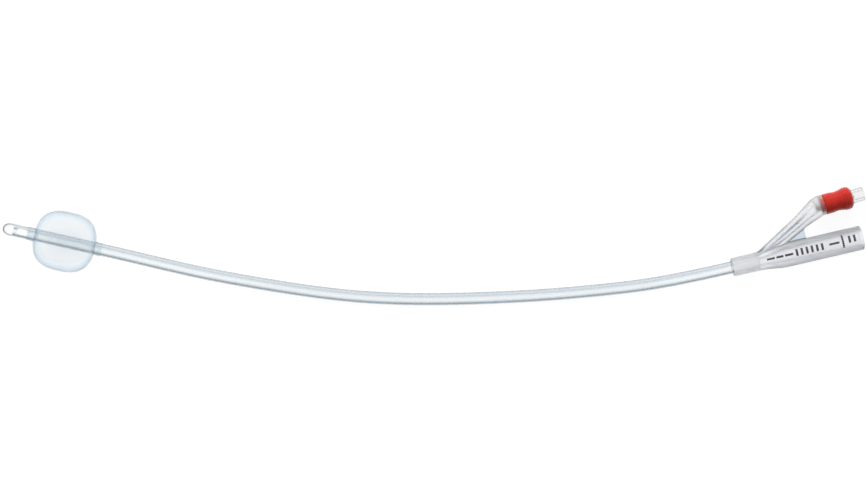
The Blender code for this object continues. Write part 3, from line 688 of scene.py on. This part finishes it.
def makeBalloon():
    # The skin's profile and its cuffs', outside and back inside, turned round the shaft's axis
    place, heading, left, up = [v[0] for v in shaftAt(balloonForm["fromNose"] * mm)]
    outer = balloonOutline(balloonForm["steps"])
    reach, steps = balloonForm["length"] / 2 + balloonForm["cuff"], balloonForm["cuffSteps"]
    # The cuffs thin out to feathered ends on the shaft
    lead = np.column_stack([
        np.linspace(cuffRadius - balloonForm["feather"], cuffRadius, steps),
        np.linspace(reach, outer[0, 1] + balloonForm["join"], steps),
    ])
    outer = np.vstack([lead, outer, (lead * (1, -1))[::-1]])
    # The wall changes with the stretch, from the cuffs' thickness as the radius grows
    along = np.gradient(outer, axis=0)
    along /= np.linalg.norm(along, axis=1)[:, None]
    normal = np.column_stack([-along[:, 1], along[:, 0]])
    stretch = np.minimum(cuffRadius / outer[:, 0], 1)
    wall = balloonForm["wall"] + (balloonForm["cuffWall"] - balloonForm["wall"]) * stretch
    inner = outer - normal * wall[:, None]
    inner[:, 0] = np.maximum(inner[:, 0], shaftForm["radius"] + bondGap)
    profile = np.vstack([outer, inner[::-1]])
    balloon = turned("balloonSkin", profile, place, heading, sides=128)
    smoothen(balloon, 50)
    return balloon


# The funnel moulding has no two-parameter grid, because three round forms melt into a Y. It is the
# surface where a field is zero: the distance in mm to the moulding, below zero inside it.
armForm = {
    "root": 10.0,
    "angle": 28.2,
    "rootRadius": 2.65,
    "neckRadius": 4.0,
    "length": 41.3,
    "bendRadius": 6.5,
    "swell": 15.0,  # the stretch up to the bend's end over which it widens to the lip
    "lip": 1.0,
    "lipRadius": 4.94,
    "lipRound": 0.3,
    "pastLip": 2.0,  # cut off again, so that the lip is flat
    "channelRoot": 0.7,
    "channelEnd": 1.7,
    "cup": (3.89, -2.02),  # radius, and floor below the lip
    "noseCup": (2.52, -4.40),
    "fillet": 0.9,
}
webForm = {"end": 37.0, "thickness": 1.2, "round": 0.4, "fillet": 0.5}
netForm = {"cell": 0.28, "margin": 0.6, "parts": 24, "steps": 4, "reach": 0.02, "leastSlope": 0.3}
shadeForm = {  # the channel's wall that gets painted shade, off the channel's middle and along the arm
    "full": 0.6,
    "reach": 2.2,
    "start": 6.0,
    "rise": 6.0,
    "fade": 27.0,
    "fall": 10.0,
}

armTurn = math.radians(armForm["angle"])
armHeading = np.array((math.cos(armTurn), math.sin(armTurn), 0))
armInward = np.array((math.sin(armTurn), -math.cos(armTurn), 0))
bendTurn = armTurn - math.atan2(valveAxis.y, valveAxis.x)
bendReach = armForm["bendRadius"] * math.tan(bendTurn / 2)
armStraight = armForm["length"] - bendReach
armRoot = np.array((armForm["root"], 0, 0))
bendStart = armRoot + armHeading * armStraight
bendCentre = bendStart + armInward * armForm["bendRadius"]
bendEnd = armRoot + armHeading * armForm["length"] + valveLine * bendReach
lipCentre = bendEnd + valveLine * armForm["lip"]


def melted(a, b, radius):
    # Both forms together, with a fillet where they meet
    corner = np.hypot(np.maximum(radius - a, 0), np.maximum(radius - b, 0))
    return np.maximum(radius, np.minimum(a, b)) - corner


def shared(a, b, radius):
    # What lies in both forms, with a rounded edge where they meet
    corner = np.hypot(np.maximum(radius + a, 0), np.maximum(radius + b, 0))
    return np.minimum(-radius, np.maximum(a, b)) + corner


def rodField(p, start, end, startRadius, endRadius):
    # Distance to a rod that widens evenly between two points
    reach = np.subtract(end, start)
    share = np.clip((p - start) @ reach / (reach @ reach), 0, 1)
    off = np.linalg.norm(p - start - share[:, None] * reach, axis=1)
    return off - startRadius - (endRadius - startRadius) * share


def roundBend(p):
    # Each point's way out from the bend's centre, and its angle round it, held within the bend
    out = p - bendCentre
    return out, np.clip(np.arctan2(out @ armHeading, out @ -armInward), 0, bendTurn)


def bendField(p, radius):
    # Distance to the bent rod between the arm's straight and its lip
    out, angle = roundBend(p)
    spoke = np.outer(np.cos(angle), -armInward) + np.outer(np.sin(angle), armHeading)
    return np.linalg.norm(out - spoke * armForm["bendRadius"], axis=1) - radius


def armSwell(p):
    # How much wider than its taper the arm is, by the distance run along it
    run = np.clip((p - armRoot) @ armHeading, 0, armStraight) + roundBend(p)[1] * armForm["bendRadius"]
    bendEndRun = armStraight + bendTurn * armForm["bendRadius"]
    return eased(0, armForm["lipRadius"] - armForm["neckRadius"], (run - bendEndRun) / armForm["swell"] + 1)


def funnelRadius(x):
    # The collar's radius, eased over the flare into the straight body's
    share = (x - funnelForm["collarLength"]) / (funnelForm["flareEnd"] - funnelForm["collarLength"])
    return eased(funnelForm["collarRadius"], funnelForm["bodyRadius"], share)


def outerField(p, past):
    # The collar and the funnel, cut off square with rounded edges
    x, y, z = p.T
    body = shared(np.hypot(y, z) - funnelRadius(x), x - funnelForm["length"], funnelForm["mouthRound"])
    body = shared(body, -funnelForm["overhang"] - x, funnelForm["collarRound"])
    # The arm, which runs a little past its lip and is cut off square there
    arm = rodField(p, armRoot, bendStart, armForm["rootRadius"], armForm["neckRadius"])
    arm = np.minimum(arm, bendField(p, armForm["neckRadius"])) - armSwell(p)
    lipEnd = lipCentre + valveLine * armForm["pastLip"]
    lip = rodField(p, bendEnd, lipEnd, armForm["lipRadius"], armForm["lipRadius"])
    arm = shared(np.minimum(arm, lip), past, armForm["lipRound"])
    # The web between them
    web = shared(np.abs(z) - webForm["thickness"] / 2, x - webForm["end"], webForm["round"])
    web = np.maximum(np.maximum(web, (p - armRoot) @ -armInward), -y)
    return melted(melted(body, arm, armForm["fillet"]), web, webForm["fillet"])


def hollowField(p, past):
    # The drainage bore, which widens to the throat and then to the mouth, and the shaft's socket
    form = funnelForm
    x, y, z = p.T
    start = socketEnd + form["boreLead"]
    share = (x - start) / (form["flareEnd"] - start)
    onward = (x - form["flareEnd"]) / (form["length"] - form["flareEnd"])
    bore = np.where(
        x < form["flareEnd"],
        eased(shaftForm["lumenRadius"], form["throat"], share),
        form["throat"] + (form["mouthBore"] - form["throat"]) * onward,
    )
    off = np.hypot(y - eased(-shaftForm["lumenOffset"], 0, share), z)
    hollow = np.maximum(off - bore, socketEnd - form["boreOverlap"] - x)
    hollow = np.minimum(hollow, np.maximum(np.hypot(y, z) - socketRadius, x - socketEnd))
    # The air channel, from the shaft's narrow hole to a third of the way up the arm, and on along it
    airRadius = shaftForm["airRadius"]
    join = armRoot + armHeading * (armStraight / 3)
    joinRadius = armForm["channelRoot"] + (armForm["channelEnd"] - armForm["channelRoot"]) / 3
    lumen = np.array((start, shaftForm["airOffset"], 0))
    for channel in (
        rodField(p, lumen - (form["airOverlap"], 0, 0), lumen, airRadius, airRadius),
        rodField(p, lumen, join, airRadius, joinRadius),
        rodField(p, join, bendStart, joinRadius, armForm["channelEnd"]),
        bendField(p, armForm["channelEnd"]),
    ):
        hollow = np.minimum(hollow, channel)
    # The valve's cup
    off = np.linalg.norm(p - lipCentre - np.outer(past, valveLine), axis=1)
    for cupRadius, floor in (armForm["cup"], armForm["noseCup"]):
        hollow = np.minimum(hollow, np.maximum(off - cupRadius, floor - past))
    return hollow


def funnelField(p):
    # What lies in the outer form and in none of its hollows
    past = (p - lipCentre) @ valveLine
    return shared(outerField(p, past), -hollowField(p, past), funnelForm["edgeRound"])


def surfaceNet(field, low, high, cell):
    # The zero surface of a field, as quads: one point in each cell that it crosses, at the mean of
    # the crossings on the cell's edges, then moved onto the surface along the field's slope
    counts = np.ceil((np.array(high) - low) / cell).astype(int) + 1
    axes = [low[i] + np.arange(counts[i]) * cell for i in range(3)]
    lattice = np.stack(np.meshgrid(*axes, indexing="ij"), axis=-1).reshape(-1, 3)
    parts = np.array_split(lattice, netForm["parts"])
    value = np.concatenate([field(part) for part in parts]).reshape(counts)
    inside = value < 0
    total = np.zeros((*(counts - 1), 3))
    hits = np.zeros(counts - 1)
    for axis in range(3):
        others = [i for i in range(3) if i != axis]
        near = [slice(None)] * 3
        far = [slice(None)] * 3
        near[axis], far[axis] = slice(None, -1), slice(1, None)
        a, b = value[tuple(near)], value[tuple(far)]
        crossed = inside[tuple(near)] != inside[tuple(far)]
        share = np.where(crossed, a / np.where(crossed, a - b, 1), 0)
        for i in (0, 1):
            for j in (0, 1):
                pick = [slice(None)] * 3
                pick[others[0]] = slice(i, counts[others[0]] - 1 + i)
                pick[others[1]] = slice(j, counts[others[1]] - 1 + j)
                hit = crossed[tuple(pick)]
                hits += hit
                total[..., axis] += share[tuple(pick)] * hit
                total[..., others[0]] += i * hit
                total[..., others[1]] += j * hit
    used = hits > 0
    index = np.cumsum(used).reshape(used.shape) - 1
    corner = np.stack(np.nonzero(used), axis=-1)
    points = low + (corner + total[used] / hits[used][:, None]) * cell
    quads = []
    for axis in range(3):
        one, two = [(1, 2), (2, 0), (0, 1)][axis]
        near, far = [slice(1, -1)] * 3, [slice(1, -1)] * 3
        near[axis], far[axis] = slice(0, -1), slice(1, None)
        before, after = inside[tuple(near)], inside[tuple(far)]
        for rising in (True, False):
            found = np.nonzero(before & ~after if rising else ~before & after)
            base = np.stack(found, axis=-1)
            base[:, one] += 1
            base[:, two] += 1
            around = []
            for stepOne, stepTwo in ((1, 1), (0, 1), (0, 0), (1, 0)):
                shifted = base.copy()
                shifted[:, one] -= stepOne
                shifted[:, two] -= stepTwo
                around.append(index[tuple(shifted.T)])
            around = np.stack(around, axis=-1)
            quads.append(around if rising else around[:, ::-1])
    for _ in range(netForm["steps"]):
        points -= onto(field, points)
    return points, np.vstack(quads)


def slopeOf(field, points, reach):
    # The field's rise along x, y and z, from its values a reach to either side
    return np.column_stack([field(points + d) - field(points - d) for d in np.eye(3) * reach]) / (2 * reach)


def onto(field, points):
    # The step from each point to the field's zero, along its slope
    slope = slopeOf(field, points, netForm["reach"])
    return slope * (field(points) / np.maximum((slope**2).sum(axis=1), netForm["leastSlope"]))[:, None]


def makeFunnel():
    # The funnel field's surface, from mm round the collar's front to metres in the frame
    body, margin = funnelForm["bodyRadius"], netForm["margin"]
    low = np.array((-funnelForm["overhang"], -body, -body)) - margin
    high = np.array((funnelForm["length"], lipCentre[1] + armForm["lipRadius"], body)) + margin
    points, quads = surfaceNet(funnelField, low, high, netForm["cell"])
    funnel = pieceFromArrays("funnelMoulding", points * mm + collarTop, quads, weld=False)
    funnel.data.shade_smooth()
    # The shading follows the field's own slope, which has no trace of the net in it
    slope = slopeOf(funnelField, points, netForm["reach"] / 2)
    slope /= np.maximum(np.linalg.norm(slope, axis=1), 1e-9)[:, None]
    funnel.data.normals_split_custom_set_from_vertices(slope)
    # Painted shade on the channel's wall, on its side away from the funnel, fading in and out along the arm
    across, along = (points - armRoot) @ -armInward, (points - armRoot) @ armHeading
    near = np.hypot(across, points[:, 2]) < shadeForm["reach"]
    shade = np.clip(across / shadeForm["full"], 0, 1) * near
    shade = shade * eased(0, 1, (along - shadeForm["start"]) / shadeForm["rise"])
    shade = shade * eased(1, 0, (along - shadeForm["fade"]) / shadeForm["fall"])
    funnel.data.attributes.new("paintedChannelShade", "FLOAT", "POINT").data.foreach_set("value", shade)
    return funnel


shaft = settle(makeShaft(), clearSilicone(), "clear_silicone", "catheter", "shaft")
print("shaft made,", len(shaft.data.polygons), "faces")
tip = settle(makeTip(), tipSilicone(), "tip_silicone", "catheter", "tip")
balloon = settle(makeBalloon(), balloonSilicone(), "balloon_silicone", "catheter", "balloon")
print("tip and balloon made")
funnel = settle(makeFunnel(), funnelSilicone(), "funnel_silicone", "catheter", "y_funnel")
print("funnel made,", len(funnel.data.polygons), "faces")


# Bars where the maker's print would be: each one's start and end along the funnel, and its edges round
# it, all in mm, with the second pair counted from the top towards the arm
printForm = {
    "lift": 0.02,
    "rows": 9,
    "columns": 7,
    "bars": [
        (15.6, 19.4, -0.5, 0.6), (20.2, 23.6, -0.5, 0.6), (24.4, 28.4, -0.5, 0.6),
        *((29.8 + 2.5 * i, 30.9 + 2.5 * i, -1.4, 1.9) for i in range(6)),
        (46.3, 51.3, -0.1, 0.9), (52.6, 53.5, -2.7, 3.7),
        (55.8, 56.9, -0.9, 2.5), (58.3, 59.4, -0.9, 2.5),
    ],
}


def makePrint():
    # Each bar is a patch laid on the funnel: along x, then radius times (sine, cosine) of its turn
    rows, columns = printForm["rows"], printForm["columns"]
    points, quads = [], []
    for start, end, low, high in printForm["bars"]:
        along = np.linspace(start, end, rows)
        radius = funnelRadius(along) + printForm["lift"]
        turn = np.linspace(low, high, columns) / funnelForm["bodyRadius"]
        patch = np.broadcast_arrays(
            along[:, None], np.outer(radius, np.sin(turn)), np.outer(radius, np.cos(turn)),
        )
        quads.append(gridQuads(rows, columns, len(points) * rows * columns, closeColumns=False))
        points.append(np.stack(patch, axis=-1).reshape(-1, 3))
    bars = pieceFromArrays("funnelPrint", np.vstack(points) * mm + collarTop, np.vstack(quads))
    smoothen(bars)
    return bars


settle(makePrint(), printInk(), None, "catheter")
print("print made")


# The valve's heights run along its own axis from the arm's lip
lipPlace = Vector(lipCentre * mm + collarTop)


def valvePiece(name, profile, corner, steps=4, sides=96, closed=True):
    # A profile with its corners rounded, turned round the valve's axis
    profile = roundCorners(profile, corner, steps, closed)
    piece = turned(name, profile, lipPlace, valveAxis, sides, closed)
    smoothen(piece)
    return piece


sleeveForm = {
    "front": 0.12,
    "end": 14.0,
    "radius": 5.0,
    "frontRound": 0.6,
    "waistHeight": 6.2,
    "waistRadius": 4.7,
    "flangeHeight": 11.4,
    "flangeRadius": 5.45,
    "flangeEnd": 3.4,
    "ringCount": 3,
    "ringSpacing": 1.3,
    "ringRise": 0.16,
    "ringHalf": 0.32,  # half a ring's width
    "spigotReach": 1.9,
    "spigotRadius": 3.77,
    "bore": 3.02,
    "boreRound": 0.12,
    "domeSteps": 40,
    "wallSteps": 130,
    "edgeSteps": 8,
}


def sleeveRadius(height):
    # Straight front, a slight waist, a bulged flange that rounds off at its end
    form = sleeveForm
    waistAt, flangeAt, flange = form["waistHeight"], form["flangeHeight"], form["flangeRadius"]
    front = eased(form["radius"], form["waistRadius"], height / waistAt * 2 - 1)
    back = eased(form["waistRadius"], flange, (height - waistAt) / (flangeAt - waistAt))
    share = np.clip((height - flangeAt) / (form["end"] - flangeAt), 0, 1)
    dome = form["flangeEnd"] + (flange - form["flangeEnd"]) * np.sqrt(1 - share**2)
    radius = np.where(height < waistAt, front, np.where(height < flangeAt, back, dome))
    # The grip rings: low round beads, centred on the flange
    first = flangeAt - form["ringSpacing"] * (form["ringCount"] - 1) / 2
    phase = (height - first) / form["ringSpacing"]
    off = np.abs(phase - np.clip(np.round(phase), 0, form["ringCount"] - 1)) * form["ringSpacing"]
    return radius + form["ringRise"] * np.sqrt(np.clip(1 - (off / form["ringHalf"]) ** 2, 0, 1))


def makeSleeve():
    # The outer side from its end to its front, the front's round edge, and the bore back to the end
    form = sleeveForm
    flangeAt, frontEdge = form["flangeHeight"], form["front"] + form["frontRound"]
    height = np.concatenate([
        flangeAt + (form["end"] - flangeAt) * np.sin(np.linspace(math.pi / 2, 0, form["domeSteps"])),
        np.linspace(flangeAt, frontEdge, form["wallSteps"])[1:],
    ])
    outer = np.column_stack([sleeveRadius(height), height])
    angle = np.linspace(0, math.pi / 2, form["edgeSteps"])[1:]
    front = np.column_stack([
        form["radius"] - form["frontRound"] + form["frontRound"] * np.cos(angle),
        frontEdge - form["frontRound"] * np.sin(angle),
    ])
    inner = [
        (form["spigotRadius"], form["front"]),
        (form["spigotRadius"], -form["spigotReach"]),
        (form["bore"], -form["spigotReach"]),
        (form["bore"], form["end"]),
    ]
    profile = np.vstack([outer, front, roundCorners(inner, form["boreRound"])])
    sleeve = turned("valveSleeve", profile, lipPlace, valveAxis)
    smoothen(sleeve)
    return sleeve


baseForm = {
    "rimTop": 3.72,
    "rimInner": 1.95,
    "rimOuter": 2.13,
    "seatTop": 2.82,  # the seat is the part that fits the sleeve
    "seatRadius": 2.90,
    "seatBottom": -1.78,
    "noseRadius": 2.40,
    "noseBottom": -4.28,
    "chamfer": 0.60,
    "airHole": 0.60,
    "pocketFloor": 2.22,
    "pocketRadius": 1.83,
    "round": 0.1,
}


def makeBase():
    # A stepped plug with an air hole and a pocket for the spring
    form = baseForm
    profile = [
        (form["rimInner"], form["rimTop"]),
        (form["rimOuter"], form["rimTop"]),
        (form["rimOuter"], form["seatTop"]),
        (form["seatRadius"], form["seatTop"]),
        (form["seatRadius"], form["seatBottom"]),
        (form["noseRadius"], form["seatBottom"]),
        (form["noseRadius"], form["noseBottom"] + form["chamfer"]),
        (form["noseRadius"] - form["chamfer"], form["noseBottom"]),
        (form["airHole"], form["noseBottom"]),
        (form["airHole"], form["pocketFloor"]),
        (form["pocketRadius"], form["pocketFloor"]),
    ]
    return valvePiece("valveBase", profile, form["round"])


portForm = {
    "mouth": 19.8,
    "mouthBore": 2.15,
    "radius": 3.35,
    "shoulder": 14.12,
    "barrelRadius": 2.90,
    "barrelBottom": 2.94,
    "chamberRadius": 2.25,
    "seatBottom": 9.8,
    "seatBore": 1.30,
    "socketFloor": 10.8,
    "socketBore": 1.88,
    "round": 0.22,
}


def makePort():
    # A barrel with the plunger's chamber below its seat and a tapered syringe socket above it
    form = portForm
    profile = [
        (form["mouthBore"], form["mouth"]),
        (form["radius"], form["mouth"]),
        (form["radius"], form["shoulder"]),
        (form["barrelRadius"], form["shoulder"]),
        (form["barrelRadius"], form["barrelBottom"]),
        (form["chamberRadius"], form["barrelBottom"]),
        (form["chamberRadius"], form["seatBottom"]),
        (form["seatBore"], form["seatBottom"]),
        (form["seatBore"], form["socketFloor"]),
        (form["socketBore"], form["socketFloor"]),
    ]
    return valvePiece("valvePort", profile, form["round"], steps=5)


plungerForm = {
    "stemTop": 15.0,
    "stemRadius": 1.0,
    "headTop": 8.91,
    "headRadius": 1.9,
    "headBottom": 8.11,
    "guideRadius": 0.8,
    "guideBottom": 4.02,
    "round": 0.18,
}


def makePlunger():
    # Stem, head and the guide that runs inside the spring, closed on the axis at both ends
    form = plungerForm
    profile = [
        (0, form["stemTop"]),
        (form["stemRadius"], form["stemTop"]),
        (form["stemRadius"], form["headTop"]),
        (form["headRadius"], form["headTop"]),
        (form["headRadius"], form["headBottom"]),
        (form["guideRadius"], form["headBottom"]),
        (form["guideRadius"], form["guideBottom"]),
        (0, form["guideBottom"]),
    ]
    return valvePiece("valvePlunger", profile, form["round"], sides=64, closed=False)


sealForm = {"bore": 1.12, "radius": 1.79, "bulge": 0.16, "top": 9.68, "bottom": 9.03, "round": 0.12}


def makeSeal():
    # A washer whose rim bulges at half its height
    form = sealForm
    profile = [
        (form["bore"], form["top"]),
        (form["radius"], form["top"]),
        (form["radius"] + form["bulge"], (form["top"] + form["bottom"]) / 2),
        (form["radius"], form["bottom"]),
        (form["bore"], form["bottom"]),
    ]
    return valvePiece("valveSeal", profile, form["round"], sides=64)


springForm = {
    "wire": 0.36,
    "radius": 1.3,  # at the middle of the wire
    "turns": 6,
    "endTurns": 0.7,  # closed up at each end
    "endPitch": 1.15,  # in wires
    "gap": 0.12,  # to the pocket's floor and to the plunger's head
    "stepsPerTurn": 48,
    "sides": 14,
}


def makeSpring():
    # A helix with closed end turns: radius (side cos a + across sin a) + axis h(a), swept with a wire
    form = springForm
    start = baseForm["pocketFloor"] + form["gap"] + form["wire"] / 2
    end = plungerForm["headBottom"] - form["gap"] - form["wire"] / 2
    endPitch = form["wire"] * form["endPitch"]
    freeTurns = form["turns"] - 2 * form["endTurns"]
    freePitch = (end - start - 2 * form["endTurns"] * endPitch) / freeTurns
    turn = np.linspace(0, form["turns"], form["turns"] * form["stepsPerTurn"] + 1)
    free = np.clip(turn - form["endTurns"], 0, freeTurns)
    height = start + free * freePitch + (turn - free) * endPitch
    side = np.cross((0, 0, 1), valveLine)
    across = np.cross(valveLine, side)
    angle = turn * 2 * math.pi
    spoke = np.outer(np.cos(angle), side) + np.outer(np.sin(angle), across)
    place = np.array(lipPlace) + (np.outer(height, valveLine) + spoke * form["radius"]) * mm
    heading = np.gradient(place, axis=0)
    heading /= np.linalg.norm(heading, axis=1)[:, None]
    up = np.cross(heading, spoke)
    up /= np.linalg.norm(up, axis=1)[:, None]
    sides = form["sides"]
    rings = sweep(place, np.cross(up, heading), up, form["wire"] / 2 * mm, sides).reshape(len(turn), sides, 3)
    # Each end closes on the middle of its wire
    startCap, endCap = np.repeat(place[:1, None], sides, axis=1), np.repeat(place[-1:, None], sides, axis=1)
    points = np.concatenate([startCap, rings, endCap])
    spring = pieceFromArrays("valveSpring", points.reshape(-1, 3), gridQuads(len(points), sides))
    smoothen(spring)
    return spring


white = whitePlastic()
settle(makeSleeve(), redPlastic(), "red_plastic", "catheter", "valve_sleeve")
settle(makeBase(), white, "white_plastic", "catheter", "valve_base")
settle(makePort(), clearPlastic(), "clear_plastic", "catheter", "valve_port")
settle(makePlunger(), white, "white_plastic", "plunger", "valve_plunger")
settle(makeSeal(), sealRubber(), "seal_rubber", "plunger", "valve_seal")
spring = settle(makeSpring(), springSteel(), "spring_steel", "catheter", "valve_spring")
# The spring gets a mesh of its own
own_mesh(spring)
print("valve made")


# The shaft's path, from its end in the collar to its tip
shaftPath = shaftAt(np.linspace(shaftEnd, shaftStart, 200))[0]
tuple(shaftAt(collarRunEnd)[0][0])


# The table: white, and it keeps the object's shadow
floorMesh = bpy.data.meshes.new("table")
floorMesh.from_pydata([(-3, -3, 0), (3, -3, 0), (3, 3, 0), (-3, 3, 0)], [], [(0, 1, 2, 3)])
floor = placed("table", floorMesh)
# The camera sees it nearly white and its shadows faint; through clear pieces and in gloss it is a lit table
material, tree, _ = newMaterial("whiteTable")
path = addNode(tree, "LightPath").outputs
seen = path["Is Camera Ray"]
for ray in ("Is Glossy Ray", "Is Transmission Ray"):
    seen = addNode(tree, "Math", {0: seen, 1: path[ray]}, operation="MAXIMUM").outputs[0]
glow = addNode(tree, "Math", {0: seen, 1: 0.9}, operation="MULTIPLY")
tone = addNode(tree, "Mix", {
    0: seen, 6: (0.45, 0.45, 0.45, 1), 7: (0.22, 0.22, 0.22, 1),
}, data_type="RGBA")
matt = addNode(tree, "BsdfDiffuse", {"Color": tone.outputs[2]})
light = addNode(tree, "Emission", {"Color": (1, 1, 1, 1), "Strength": glow.outputs[0]})
both = addNode(tree, "AddShader", {0: matt.outputs[0], 1: light.outputs[0]})
addNode(tree, "OutputMaterial", {"Surface": both.outputs[0]})
floorMesh.materials.append(material)

# The room: even light, brighter towards the picture's top, and white to the camera
world = bpy.data.worlds.new("studio")
bpy.context.scene.world = world
world.use_nodes = True
tree = world.node_tree
tree.nodes.clear()
direction = addNode(tree, "TexCoord").outputs["Generated"]
side = addNode(tree, "VectorMath", {0: direction, 1: tuple(pictureUp)}, operation="DOT_PRODUCT")
level = addNode(tree, "MapRange", {
    "Value": side.outputs["Value"], "From Min": -1.0, "From Max": 1.0, "To Min": 0.17, "To Max": 0.66,
})
path = addNode(tree, "LightPath").outputs
strength = addNode(tree, "Mix", {0: path["Is Camera Ray"], 2: level.outputs[0], 3: 1.0})
back = addNode(tree, "Background", {"Color": (1, 1, 1, 1), "Strength": strength.outputs[0]})
addNode(tree, "OutputWorld", {"Surface": back.outputs[0]})

# One soft box, low at the picture's top, that no gloss or clear piece shows
lampForm = {"away": 1.3, "height": 0.6, "size": (1.6, 0.4), "watts": 14.5}  # metres
lamp = bpy.data.lights.new("lowBox", "AREA")
lamp.shape = "RECTANGLE"
lamp.size, lamp.size_y = lampForm["size"]
lamp.energy = lampForm["watts"]
lowBox = placed("lowBox", lamp)
lowBox.location = pictureUp * lampForm["away"] + Vector((0, 0, lampForm["height"]))
lowBox.rotation_euler = (-lowBox.location).to_track_quat("-Z", "Y").to_euler()
lowBox.visible_glossy = False
lowBox.visible_transmission = False
bpy.context.scene.view_settings.view_transform = "Standard"
print("stage set")
